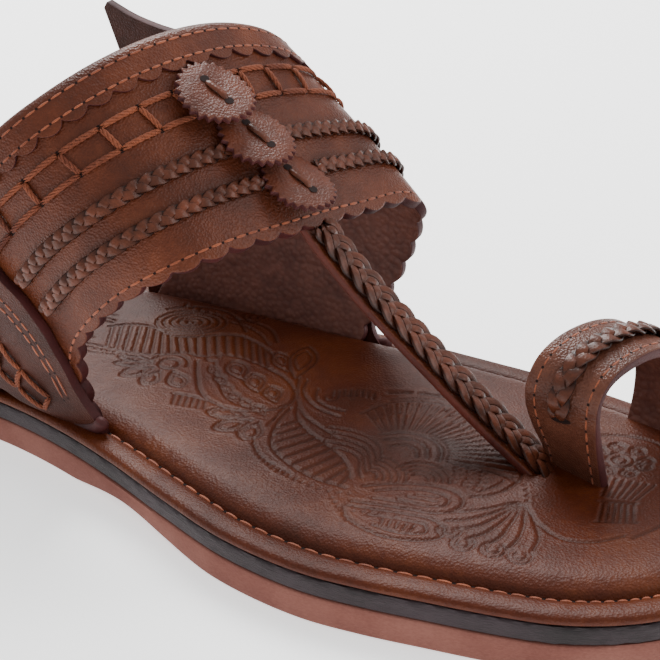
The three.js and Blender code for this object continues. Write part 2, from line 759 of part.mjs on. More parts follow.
const upper = manifoldOf(bandSolid()).add(manifoldOf(postSolid())).add(manifoldOf(ringSolid()));
const upperGeometry = geometryOf(upper.simplify(shortestEdge));
const ears = { lateral: earSolid('lateral'), medial: earSolid('medial') };
const footbed = [upperGeometry, ears.lateral, ears.medial].reduce(cutSlots, manifoldOf(footbedSolid()));

const group = new THREE.Group();
group.add(namedMesh('outsole', outsoleSolid(), outsolePink));
group.add(namedMesh('midsole', midsoleSolid(), midsoleBrown));
group.add(namedMesh('footbed', geometryOf(footbed), footbedBrown));
group.add(namedMesh('upper', upperGeometry, leatherBrown));
for (const side of ['lateral', 'medial']) {
  group.add(namedMesh(`ear_${side}`, ears[side], earBrown));
}
for (const place of plaitPlaces) {
  group.add(namedMesh(place.name, bandPlaitSolid(place), plaitBrown));
}
group.add(namedMesh('plait_ring', ringPlaitSolid(), plaitBrown));
for (const place of rosettePlaces) {
  group.add(rosetteMesh(place));
}
group.position.set(-heelCentre.along * soleLength, -heelCentre.across * ballWidth, 0);

export default group;
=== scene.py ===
"""Looks of a kolhapuri chappal for the right foot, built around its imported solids.

Lengths are in millimetres up to the moment a mesh is written, which is in metres. Tables and
shares run from the heel's back end and are the solids' own, but for the band's hidden medial foot,
which ends 5 mm further back. ORIGIN moves them into the solids' frame.
"""

import logging
import math
from dataclasses import dataclass, field
from enum import Enum
from typing import Callable, Iterable, Sequence

import bmesh
import bpy
import numpy as np
from bmesh.types import BMesh
from mathutils import Matrix, Vector, kdtree


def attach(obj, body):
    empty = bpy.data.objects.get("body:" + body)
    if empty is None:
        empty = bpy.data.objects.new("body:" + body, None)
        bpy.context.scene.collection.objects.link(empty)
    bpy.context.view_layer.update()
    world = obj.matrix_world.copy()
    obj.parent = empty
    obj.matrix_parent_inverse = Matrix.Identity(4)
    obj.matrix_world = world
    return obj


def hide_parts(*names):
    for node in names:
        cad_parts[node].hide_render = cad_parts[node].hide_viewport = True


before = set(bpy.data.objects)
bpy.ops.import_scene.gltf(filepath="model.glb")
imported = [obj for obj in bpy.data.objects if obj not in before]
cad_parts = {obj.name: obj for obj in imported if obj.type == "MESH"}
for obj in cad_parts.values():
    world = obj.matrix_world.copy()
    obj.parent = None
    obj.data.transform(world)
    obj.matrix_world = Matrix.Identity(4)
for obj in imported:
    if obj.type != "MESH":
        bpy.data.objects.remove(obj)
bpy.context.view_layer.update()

log = logging.getLogger("chappal")

MM = 0.001
SOLE_LENGTH = 280.0
BALL_WIDTH = 105.0
ORIGIN = np.array([0.186 * SOLE_LENGTH, 0.067 * BALL_WIDTH, 0.0])
FOOT_LEVEL = 12.0
RIM_TOP = 13.9
INSTEP_RISE = 106.0 - FOOT_LEVEL

Surface = Callable[[np.ndarray], np.ndarray]


class Slot(Enum):
    """Material slots of the record."""

    OUTSOLE = "outsole"
    MIDSOLE = "midsole"
    FOOTBED = "footbed"
    UPPER = "upper"
    PLAIT = "plait"
    ROSETTE = "rosette"
    THREAD = "thread"


# ---------- tables of the solids

BAND_BACK = np.array([
    (0.221, -0.205, 0), (0.234, -0.267, 0.16), (0.254, -0.319, 0.319), (0.282, -0.362, 0.489),
    (0.325, -0.384, 0.67), (0.373, -0.357, 0.819), (0.404, -0.29, 0.904), (0.429, -0.181, 0.965),
    (0.45, -0.052, 0.998), (0.468, 0.081, 1), (0.48, 0.21, 0.964), (0.483, 0.31, 0.9),
    (0.477, 0.376, 0.809), (0.455, 0.417, 0.67), (0.421, 0.431, 0.5), (0.378, 0.421, 0.319),
    (0.34, 0.4, 0.16), (0.312, 0.371, 0),
])
BAND_FRONT = np.array([
    (0.421, -0.262, 0), (0.42, -0.3, 0.16), (0.434, -0.34, 0.282), (0.461, -0.362, 0.383),
    (0.493, -0.355, 0.473), (0.523, -0.322, 0.532), (0.545, -0.257, 0.564), (0.561, -0.157, 0.572),
    (0.574, -0.038, 0.562), (0.584, 0.086, 0.55), (0.595, 0.21, 0.535), (0.606, 0.324, 0.524),
    (0.612, 0.405, 0.484), (0.603, 0.438, 0.388), (0.588, 0.448, 0.277), (0.571, 0.438, 0.165),
    (0.557, 0.419, 0.08), (0.545, 0.4, 0),
])
RING_REAR = np.array([
    (0.03, 0), (-0.03, 0.23), (-0.16, 0.43), (-0.26, 0.63), (-0.26, 0.79), (-0.14, 0.93), (0.1, 1),
    (0.42, 0.995), (0.71, 0.92), (0.93, 0.77), (1.06, 0.55), (1.08, 0.3), (1.01, 0),
])
RING_FRONT = np.array([
    (0.06, 0), (-0.03, 0.24), (-0.09, 0.44), (-0.12, 0.62), (-0.1, 0.76), (0.01, 0.88), (0.22, 0.94),
    (0.49, 0.945), (0.78, 0.88), (0.98, 0.73), (1.11, 0.53), (1.12, 0.29), (1.06, 0),
])
SOLE_ROWS = np.array([
    (0.018, -0.1, 0.216), (0.054, -0.194, 0.3), (0.107, -0.245, 0.367), (0.214, -0.267, 0.405),
    (0.321, -0.281, 0.419), (0.393, -0.314, 0.438), (0.464, -0.367, 0.462), (0.536, -0.433, 0.476),
    (0.607, -0.49, 0.486), (0.679, -0.51, 0.486), (0.732, -0.495, 0.484), (0.786, -0.467, 0.471),
    (0.839, -0.438, 0.448), (0.875, -0.414, 0.424), (0.914, -0.367, 0.381), (0.946, -0.305, 0.319),
    (0.982, -0.19, 0.186),
])
EAR_FRONT = [
    (-0.02, 0, 0.44), (0.2, 0, 0.42), (0.38, 0, 0.398), (0.48, 0.06, 0.379), (0.62, 0.045, 0.353),
    (0.78, 0.035, 0.298), (0.87, 0.03, 0.245), (0.94, 0.03, 0.187), (1, 0, 0.1), (1.08, 0, 0.045),
]
EAR_ROWS = {
    "lateral": np.array([
        (-1, 0.472, 0.482), (-0.88, 0.452, 0.481), (-0.72, 0.42, 0.484), (-0.5, 0.355, 0.482),
        (-0.3, 0.25, 0.47), (-0.12, 0.13, 0.447), *EAR_FRONT,
    ]),
    "medial": np.array([
        (-1.16, 0.412, 0.421), (-1, 0.382, 0.426), (-0.85, 0.352, 0.437), (-0.68, 0.308, 0.454),
        (-0.45, 0.235, 0.466), (-0.2, 0.13, 0.46), *EAR_FRONT,
    ]),
}
POST_ROWS = np.array([
    (0.625, 0.05, 0.745), (0.69, 0.047, 0.475), (0.75, 0.044, 0.24), (0.786, 0.042, 0.11),
    (0.803, 0.042, 0.035), (0.808, 0.042, 0),
])


# ---------- small tools

def linear(code: str) -> tuple[float, float, float, float]:
    """Linear colour of an sRGB hex value.

    Args:
        code: The colour as "#rrggbb".

    Returns:
        Red, green, blue and an alpha of 1.
    """
    parts = [int(code[k:k + 2], 16) / 255 for k in (1, 3, 5)]
    flat = [p / 12.92 if p <= 0.04045 else ((p + 0.055) / 1.055) ** 2.4 for p in parts]
    return flat[0], flat[1], flat[2], 1.0


def per_mm(size: float) -> float:
    """Texture scale on object coordinates for a feature of so many millimetres."""
    return 1 / (size * MM)


def column_at(rows: np.ndarray, place: np.ndarray) -> np.ndarray:
    """Smooth values of a table at places counted in rows.

    Args:
        rows: The table, one row a section.
        place: Places from 0 to the last row, in any shape.

    Returns:
        The values, with the table's columns as the last axis.
    """
    last = len(rows) - 1
    at = np.clip(np.asarray(place, float), 0, last)
    row = np.minimum(at.astype(int), last - 1)
    part = (at - row)[..., None]
    before, here = rows[np.maximum(row - 1, 0)], rows[row]
    after, beyond = rows[row + 1], rows[np.minimum(row + 2, last)]
    bend = -before + 3 * here - 3 * after + beyond
    lean = 2 * before - 5 * here + 4 * after - beyond
    return 0.5 * (2 * here + (after - before) * part + lean * part ** 2 + bend * part ** 3)


def smooth_line(knots: Sequence[Sequence[float]], closed: bool, per_span: int) -> np.ndarray:
    """Centripetal line through knots.

    Args:
        knots: The points that the line passes.
        closed: Whether it returns to its first knot.
        per_span: Points for each span between two knots.

    Returns:
        The line's points, without a repeated last one when closed.
    """
    p = np.asarray(knots, float)
    if closed:
        ends = np.vstack([p[-1:], p, p[:2]])
    else:
        ends = np.vstack([2 * p[:1] - p[1:2], p, 2 * p[-1:] - p[-2:-1]])
    spans = len(ends) - 3
    t = (np.arange(per_span) / per_span)[:, None]
    line = []
    for k in range(spans):
        a, b, c, d = ends[k:k + 4]
        da, db, dc = (max(float(np.linalg.norm(v)), 1e-9) ** 0.5 for v in (b - a, c - b, d - c))
        ta = ((b - a) / da - (c - a) / (da + db) + (c - b) / db) * db
        tb = ((c - b) / db - (d - b) / (db + dc) + (d - c) / dc) * db
        line.append(b + ta * t + (3 * (c - b) - 2 * ta - tb) * t ** 2 + (2 * (b - c) + ta + tb) * t ** 3)
    if not closed:
        line.append(p[-1:])
    return np.vstack(line)


def run_of(line: np.ndarray) -> np.ndarray:
    """Lengths from a line's start to each of its points."""
    return np.concatenate([[0], np.cumsum(np.linalg.norm(np.diff(line, axis=0), axis=1))])


def evenly(line: np.ndarray, shares: np.ndarray) -> np.ndarray:
    """Points of a line at shares of its length.

    Args:
        line: The line's points.
        shares: Shares from 0 to 1.

    Returns:
        One point for each share.
    """
    run = run_of(line)
    at = np.asarray(shares) * run[-1]
    return np.stack([np.interp(at, run, line[:, k]) for k in range(line.shape[1])], axis=-1)


def length_of(line: np.ndarray) -> float:
    """Length of a line of points."""
    return float(np.linalg.norm(np.diff(line, axis=0), axis=1).sum())


def unit(v: np.ndarray) -> np.ndarray:
    """Vectors scaled to a length of one along the last axis."""
    return v / np.maximum(np.linalg.norm(v, axis=-1, keepdims=True), 1e-12)


def waves(x: np.ndarray, pitch: float, seed: int) -> np.ndarray:
    """Uneven ripples between -1 and 1 along a length.

    Args:
        x: Places in millimetres.
        pitch: Rough distance between ripples.
        seed: Which set of ripples.

    Returns:
        The ripple at each place.
    """
    rng = np.random.default_rng(seed)
    total = np.zeros_like(np.asarray(x, float))
    for factor in (0.61, 1.0, 1.43):
        total += np.sin(2 * np.pi * x * factor / pitch + rng.uniform(0, 2 * np.pi))
    return total / 3


def read(bm: BMesh) -> np.ndarray:
    """All vertex places of a bmesh."""
    return np.array([v.co for v in bm.verts], float).reshape(-1, 3)


def write(bm: BMesh, places: np.ndarray) -> None:
    """Moves every vertex of a bmesh to its place."""
    for vertex, place in zip(bm.verts, places):
        vertex.co = place


def flat_grid(columns: int, rows: int) -> BMesh:
    """A flat sheet whose X and Y run from 0 to 1.

    Args:
        columns: Faces along X.
        rows: Faces along Y.

    Returns:
        The sheet as a bmesh.
    """
    bm = bmesh.new()
    bmesh.ops.create_grid(bm, x_segments=columns, y_segments=rows, size=0.5)
    bmesh.ops.translate(bm, verts=bm.verts, vec=(0.5, 0.5, 0))
    return bm


def wrap(bm: BMesh, surface: Surface) -> BMesh:
    """Lays a bmesh on a surface.

    Args:
        bm: The piece in the surface's own coordinates.
        surface: Takes those coordinates to millimetres in the solids' frame.

    Returns:
        The same bmesh.
    """
    write(bm, surface(read(bm)))
    return bm


def thicken(bm: BMesh, lift: float, wall: float, ease: float) -> None:
    """Gives a flat sheet a wall with eased edges and numbers its faces by side.

    Faces that look up get material 0, cut edges 1 and faces that look down 2.

    Args:
        bm: The flat sheet.
        lift: Height of its upper side.
        wall: Its thickness.
        ease: Width of the eased edge, in the sheet's X and Y units and in height.
    """
    top = list(bm.faces)
    made = bmesh.ops.extrude_face_region(bm, geom=top)
    lower = [g for g in made["geom"] if isinstance(g, bmesh.types.BMVert)]
    bmesh.ops.translate(bm, verts=lower, vec=(0, 0, -wall))
    bmesh.ops.translate(bm, verts=bm.verts, vec=(0, 0, lift))
    bmesh.ops.recalc_face_normals(bm, faces=bm.faces)
    if ease > 0:
        rims = [e for e in bm.edges if len(e.link_faces) == 2 and abs(e.calc_face_angle(0)) > 1]
        bmesh.ops.bevel(bm, geom=rims, offset=ease, offset_type="OFFSET", segments=2, profile=0.5,
                        affect="EDGES", material=-1, clamp_overlap=True)
    bm.normal_update()
    for face in bm.faces:
        face.material_index = 0 if face.normal.z > 0.8 else 2 if face.normal.z < -0.8 else 1


def tube(bm: BMesh, path: np.ndarray, up: np.ndarray, wide: float, thick: float,
         sides: int = 8, square: float = 1.0, shade: np.ndarray | None = None) -> None:
    """Adds a strand with an oval section along a path.

    Args:
        bm: The bmesh that takes the strand.
        path: The strand's middle line.
        up: The direction of its thickness at each point.
        wide: Full width of its section.
        thick: Full thickness of its section.
        sides: Faces round the section.
        square: 1 for an oval section, less for one with fuller corners.
        shade: How much painted shade darkens each point, for strands whose bmesh has the "pressed" layer.
    """
    made = bmesh.ops.create_grid(bm, x_segments=len(path) - 1, y_segments=sides, size=0.5)
    verts = made["verts"]
    ahead = unit(np.gradient(path, axis=0))
    side = unit(np.cross(up, ahead))
    lift = np.cross(ahead, side)
    at = np.array([v.co for v in verts]) + 0.5
    row = np.rint(at[:, 0] * (len(path) - 1)).astype(int)
    angle = at[:, 1] * 2 * np.pi
    # Both ends close to a blunt point.
    size = np.ones(len(path))
    size[[0, -1]] = 0
    size[[1, -2]] = 0.7
    edge, face = np.cos(angle), np.sin(angle)
    across = np.sign(edge) * np.abs(edge) ** square * wide / 2 * size[row]
    height = np.sign(face) * np.abs(face) ** square * thick / 2 * size[row]
    places = path[row] + side[row] * across[:, None] + lift[row] * height[:, None]
    for vertex, place in zip(verts, places):
        vertex.co = place
    # Painted shade: darker where the strand dips under the others and at its side edges, where it meets its
    # neighbours.
    if shade is not None:
        layer = bm.verts.layers.float["pressed"]
        for vertex, share in zip(verts, np.maximum(shade[row], np.abs(edge) ** 6)):
            vertex[layer] = share
    bmesh.ops.remove_doubles(bm, verts=verts, dist=1e-5)


def basis(x: np.ndarray, y: np.ndarray, z: np.ndarray, origin: np.ndarray) -> Matrix:
    """Matrix that takes the three axes to given vectors at an origin.

    Args:
        x: Where X goes.
        y: Where Y goes.
        z: Where Z goes.
        origin: Where the origin goes.

    Returns:
        The matrix.
    """
    made = np.eye(4)
    made[:3, 0], made[:3, 1], made[:3, 2], made[:3, 3] = x, y, z, origin
    return Matrix(made.tolist())


def spindle(bm: BMesh, start: np.ndarray, end: np.ndarray, up: np.ndarray,
            wide: float, high: float, sink: float = 0.0) -> None:
    """Adds one stitch: a thread that rises between two holes.

    Args:
        bm: The bmesh that takes the stitch.
        start: Its first hole.
        end: Its last hole.
        up: The surface's normal.
        wide: The thread's width.
        high: How far it stands up.
        sink: How far its middle lies under the surface.
    """
    half = (end - start) / 2
    side = unit(np.cross(up, half))
    up = unit(np.cross(half, side))
    place = basis(half * 1.06, side * wide / 2, up * high, (start + end) / 2 - up * sink)
    turn = Matrix.Rotation(math.pi / 2, 4, "Y")
    bmesh.ops.create_uvsphere(bm, u_segments=6, v_segments=6, radius=1, matrix=place @ turn)


def finish_mesh(name: str, bm: BMesh, materials: Sequence[bpy.types.Material],
                slot: Slot, replaced: Sequence[str] = (), smooth: float = 50,
                closed: bool = True) -> bpy.types.Object:
    """Turns a bmesh in millimetres into a piece of the shoe.

    Args:
        name: The piece's name.
        bm: Its mesh, which is freed.
        materials: Its materials by face number.
        slot: The record's slot for the piece; not used.
        replaced: Names of the solids that it stands for.
        smooth: Edges sharper than this many degrees stay crisp.
        closed: Whether it is a body, whose faces then turn outwards, or a sheet that looks up.

    Returns:
        The piece's object.
    """
    if closed:
        bmesh.ops.recalc_face_normals(bm, faces=bm.faces)
    bmesh.ops.scale(bm, vec=(MM, MM, MM), verts=bm.verts)
    bm.normal_update()
    for face in bm.faces:
        face.smooth = True
    for edge in bm.edges:
        if len(edge.link_faces) == 2 and edge.calc_face_angle(0) > math.radians(smooth):
            edge.smooth = False
    mesh = bpy.data.meshes.new(name)
    bm.to_mesh(mesh)
    bm.free()
    for material in materials:
        mesh.materials.append(material)
    piece = bpy.data.objects.new(name, mesh)
    bpy.context.scene.collection.objects.link(piece)
    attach(piece, "root")
    if replaced:
        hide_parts(*replaced)
    log.info("%s: %d faces", name, len(mesh.polygons))
    return piece


# ---------- materials

def add(tree: bpy.types.NodeTree, kind: str, settings: dict | None = None,
        values: dict | None = None) -> bpy.types.Node:
    """Adds a node with its settings, and fills or links its inputs.

    Args:
        tree: The material's node tree.
        kind: The node's type name.
        settings: Node properties by name.
        values: Input values or linked output sockets by input name or number.

    Returns:
        The node.
    """
    made = tree.nodes.new(kind)
    for name, value in (settings or {}).items():
        setattr(made, name, value)
    for name, value in (values or {}).items():
        socket = made.inputs[name]
        if isinstance(value, bpy.types.NodeSocket):
            tree.links.new(value, socket)
        else:
            socket.default_value = value
    return made


def ramp(tree: bpy.types.NodeTree, factor: bpy.types.NodeSocket,
         stops: Sequence[tuple[float, str]]) -> bpy.types.NodeSocket:
    """Colour ramp of hex stops over a factor.

    Args:
        tree: The material's node tree.
        factor: The value that picks the colour.
        stops: Place and colour of each stop, lowest first.

    Returns:
        The ramp's colour output.
    """
    made = add(tree, "ShaderNodeValToRGB", values={"Fac": factor})
    elements = made.color_ramp.elements
    while len(elements) < len(stops):
        elements.new(0.5)
    for element, (place, code) in zip(elements, stops):
        element.position = place
        element.color = linear(code)
    return made.outputs["Color"]


def blank(name: str) -> tuple[bpy.types.Material, bpy.types.NodeTree, bpy.types.NodeSocket]:
    """An empty material.

    Args:
        name: Its name.

    Returns:
        The material, its node tree and a socket with object coordinates.
    """
    made = bpy.data.materials.new(name)
    made.use_nodes = True
    tree = made.node_tree
    tree.nodes.clear()
    return made, tree, add(tree, "ShaderNodeTexCoord").outputs["Object"]


@dataclass(frozen=True)
class Leather:
    """Vegetable-tanned leather, dyed and waxed: a fine grain under a soft gloss.

    Lengths are in millimetres: the grain's pebble, its depth, the pores' depth and the dye's clouds.
    Where its mesh has the "pressed" attribute, a leather with the flag below darkens towards its dark
    colour: painted shade in grooves and in the gaps between plaited thongs.
    """

    name: str
    dark: str
    base: str
    light: str
    roughness: float = 0.42
    grain: float = 0.55
    grain_depth: float = 0.2
    pore_depth: float = 0.05
    coat: float = 0.03
    mottle: float = 14.0
    # Darkens by the "pressed" attribute: painted shade in grooves and between plaited thongs.
    shaded: bool = False
    shine: float = 0.2

    def material(self) -> bpy.types.Material:
        """Builds the leather.

        Returns:
            The material.
        """
        made, tree, place = blank(self.name)
        cloud = add(tree, "ShaderNodeTexNoise", values={
            "Vector": place, "Scale": per_mm(self.mottle), "Detail": 5.0, "Roughness": 0.6})
        fleck = add(tree, "ShaderNodeTexNoise", values={
            "Vector": place, "Scale": per_mm(1.6), "Detail": 3.0, "Roughness": 0.7})
        mixed = add(tree, "ShaderNodeMath", {"operation": "MULTIPLY_ADD"}, {
            0: fleck.outputs["Fac"], 1: 0.35, 2: cloud.outputs["Fac"]})
        colour = ramp(tree, mixed.outputs[0], [
            (0.3, self.dark), (0.66, self.base), (1.0, self.light)])
        # Pebbles as wide as the hide's own. Real pores are about 0.1 mm wide, too fine to show, so
        # they are drawn 0.32 mm wide.
        grain = add(tree, "ShaderNodeTexVoronoi", {"feature": "SMOOTH_F1"}, {
            "Vector": place, "Scale": per_mm(self.grain), "Smoothness": 0.15})
        fine = add(tree, "ShaderNodeTexNoise", values={
            "Vector": place, "Scale": per_mm(0.32), "Detail": 2.0})
        swell = add(tree, "ShaderNodeTexNoise", values={
            "Vector": place, "Scale": per_mm(7.0), "Detail": 2.0})
        wide = add(tree, "ShaderNodeBump", values={
            "Height": swell.outputs["Fac"], "Distance": 0.08 * MM, "Strength": 0.25})
        coarse = add(tree, "ShaderNodeBump", values={
            "Height": grain.outputs["Distance"], "Distance": self.grain_depth * MM,
            "Strength": 0.8, "Normal": wide.outputs["Normal"]})
        relief = add(tree, "ShaderNodeBump", values={
            "Height": fine.outputs["Fac"], "Distance": self.pore_depth * MM,
            "Strength": 0.8, "Normal": coarse.outputs["Normal"]})
        gloss = add(tree, "ShaderNodeMapRange", values={
            "Value": mixed.outputs[0], "From Min": 0.4, "From Max": 0.9,
            "To Min": self.roughness + 0.08, "To Max": self.roughness - 0.06})
        # Painted shade: the "pressed" attribute mixes the colour towards the dark one in grooves and in the
        # gaps between thongs.
        if self.shaded:
            press = add(tree, "ShaderNodeAttribute", {"attribute_name": "pressed"})
            painted_shade = add(tree, "ShaderNodeMix", {"data_type": "RGBA"}, {
                "Factor": press.outputs["Fac"], 6: colour, 7: linear(self.dark)})
            colour = painted_shade.outputs[2]
        shader = add(tree, "ShaderNodeBsdfPrincipled", values={
            "Base Color": colour, "Roughness": gloss.outputs[0], "Normal": relief.outputs["Normal"],
            "Specular IOR Level": self.shine, "Coat Weight": self.coat, "Coat Roughness": 0.28})
        add(tree, "ShaderNodeOutputMaterial", values={"Surface": shader.outputs["BSDF"]})
        return made


@dataclass(frozen=True)
class Lining:
    """Goat lining with a coarse pebble: matt, with a painted highlight on each pebble and painted shade
    between them.
    """

    name: str
    dark: str
    light: str
    pebble: float = 1.5

    def material(self) -> bpy.types.Material:
        """Builds the lining.

        Returns:
            The material.
        """
        made, tree, place = blank(self.name)
        pebble = add(tree, "ShaderNodeTexVoronoi", {"feature": "SMOOTH_F1"}, {
            "Vector": place, "Scale": per_mm(self.pebble), "Smoothness": 0.35, "Randomness": 0.9})
        cloud = add(tree, "ShaderNodeTexNoise", values={
            "Vector": place, "Scale": per_mm(9.0), "Detail": 4.0, "Roughness": 0.7})
        # Painted highlight and shade: lighter at each pebble's middle, darker towards its edges.
        mixed = add(tree, "ShaderNodeMath", {"operation": "MULTIPLY_ADD"}, {
            0: pebble.outputs["Distance"], 1: -0.3, 2: cloud.outputs["Fac"]})
        colour = ramp(tree, mixed.outputs[0], [(0.05, self.dark), (0.55, self.light)])
        relief = add(tree, "ShaderNodeBump", {"invert": True}, {
            "Height": pebble.outputs["Distance"], "Distance": 0.3 * MM, "Strength": 0.9})
        shader = add(tree, "ShaderNodeBsdfPrincipled", values={
            "Base Color": colour, "Roughness": 0.55, "Normal": relief.outputs["Normal"], "IOR": 1.48})
        add(tree, "ShaderNodeOutputMaterial", values={"Surface": shader.outputs["BSDF"]})
        return made


@dataclass(frozen=True)
class Grained:
    """A plain stuff with a speckled colour and a bump of one grain size."""

    name: str
    dark: str
    light: str
    grain: float
    depth: float
    roughness: float
    stretch: tuple[float, float, float] = (1, 1, 1)
    sheen: float = 0.0
    shine: float = 0.25

    def material(self) -> bpy.types.Material:
        """Builds the stuff.

        Returns:
            The material.
        """
        made, tree, place = blank(self.name)
        drawn = add(tree, "ShaderNodeMapping", values={"Vector": place, "Scale": self.stretch})
        grain = add(tree, "ShaderNodeTexNoise", values={
            "Vector": drawn.outputs["Vector"], "Scale": per_mm(self.grain), "Detail": 4.0,
            "Roughness": 0.65})
        cloud = add(tree, "ShaderNodeTexNoise", values={
            "Vector": place, "Scale": per_mm(18.0), "Detail": 4.0})
        mixed = add(tree, "ShaderNodeMath", {"operation": "MULTIPLY_ADD"}, {
            0: grain.outputs["Fac"], 1: 0.6, 2: cloud.outputs["Fac"]})
        colour = ramp(tree, mixed.outputs[0], [(0.55, self.dark), (1.0, self.light)])
        relief = add(tree, "ShaderNodeBump", values={
            "Height": grain.outputs["Fac"], "Distance": self.depth * MM, "Strength": 0.8})
        shader = add(tree, "ShaderNodeBsdfPrincipled", values={
            "Base Color": colour, "Roughness": self.roughness,
            "Normal": relief.outputs["Normal"], "Sheen Weight": self.sheen,
            "Specular IOR Level": self.shine})
        add(tree, "ShaderNodeOutputMaterial", values={"Surface": shader.outputs["BSDF"]})
        return made


class Finishes:
    """The shoe's materials, each made once."""

    def __init__(self) -> None:
        """Builds every material."""
        # Waxed upper leather: warm brown that clouds to a redder, darker tone, softly glossed.
        self.upper = Leather("waxed_upper_leather", "#38190f", "#522615", "#6a3721", 0.38).material()
        # The ears are cut from a duller part of the hide: darker, purpler and nearly matt.
        self.ear = Leather("dull_ear_leather", "#26120d", "#381a12", "#4a2317", 0.5, shine=0.12).material()
        # Burnished sock leather: wide clouds of polish, and painted shade in the grooves of the tooling.
        self.sock = Leather("burnished_sock_leather", "#260e05", "#481d0c", "#602f14", 0.46, grain=0.6,
                            grain_depth=0.13, coat=0.02, mottle=30, shaded=True, shine=0.16).material()
        # Cut and waxed thongs: glossy backs, with painted shade in the gaps between them.
        self.plait = Leather("thong_leather", "#1c0b07", "#4f2819", "#703c2a", 0.34, grain=0.6,
                             grain_depth=0.08, pore_depth=0.03, coat=0.08, mottle=5, shaded=True).material()
        # Pinked discs: a little greyer than the band, with a grain that catches the light.
        self.rosette = Leather("pinked_leather", "#361a12", "#542a1c", "#693724", 0.42, grain=0.6,
                               grain_depth=0.16, coat=0.04, mottle=8).material()
        # The toe ring is cut from a smoother part: small highlights over an even brown.
        self.ring = Leather("smooth_ring_leather", "#361d15", "#532f23", "#6c4232", 0.34).material()
        # A cut edge shows the dyed fibres of the hide's middle: rough and burgundy.
        self.cut = Grained("dyed_cut_edge", "#2a1011", "#481d1c", 0.5, 0.12, 0.62).material()
        # The post strap's edge is dyed redder: a thin warm line beside the plait.
        self.red_cut = Grained("red_cut_edge", "#34120c", "#5a251a", 0.6, 0.1, 0.5).material()
        # Goat lining, drummed to a pebble: dull, with a painted highlight on each pebble.
        self.lining = Lining("pebbled_goat_lining", "#482620", "#6e4236").material()
        # Waxed linen thread: orange-brown, with the twist drawn as short flecks.
        self.thread = Grained("waxed_thread", "#5e2a17", "#9a5232", 0.35, 0.1, 0.6, sheen=0.2).material()
        # The lacing's thread is thicker, darker and frayed: rough and without gloss.
        self.lace = Grained("frayed_waxed_lace", "#4a2014", "#8c4c31", 0.5, 0.3, 0.7).material()
        # The mouth of a needle hole: dark and matt, painted shade that stands for its depth.
        self.hole = Grained("painted_hole_shade", "#120806", "#1e0d0a", 0.6, 0.05, 0.9).material()
        # Burnished stack: nearly black wax over drawn fibres that run round the shoe.
        self.midsole = Grained("burnished_sole_edge", "#120c0b", "#32262a", 0.7, 0.3, 0.5,
                               (0.35, 0.35, 2.2)).material()
        # Moulded rubber: even pink-brown and matt, with a faint drag from the trimming.
        self.rubber = Grained("moulded_rubber", "#6a3c33", "#85564b", 0.5, 0.12, 0.8,
                              (0.6, 0.6, 1.4)).material()


# ---------- the shoe's own surfaces

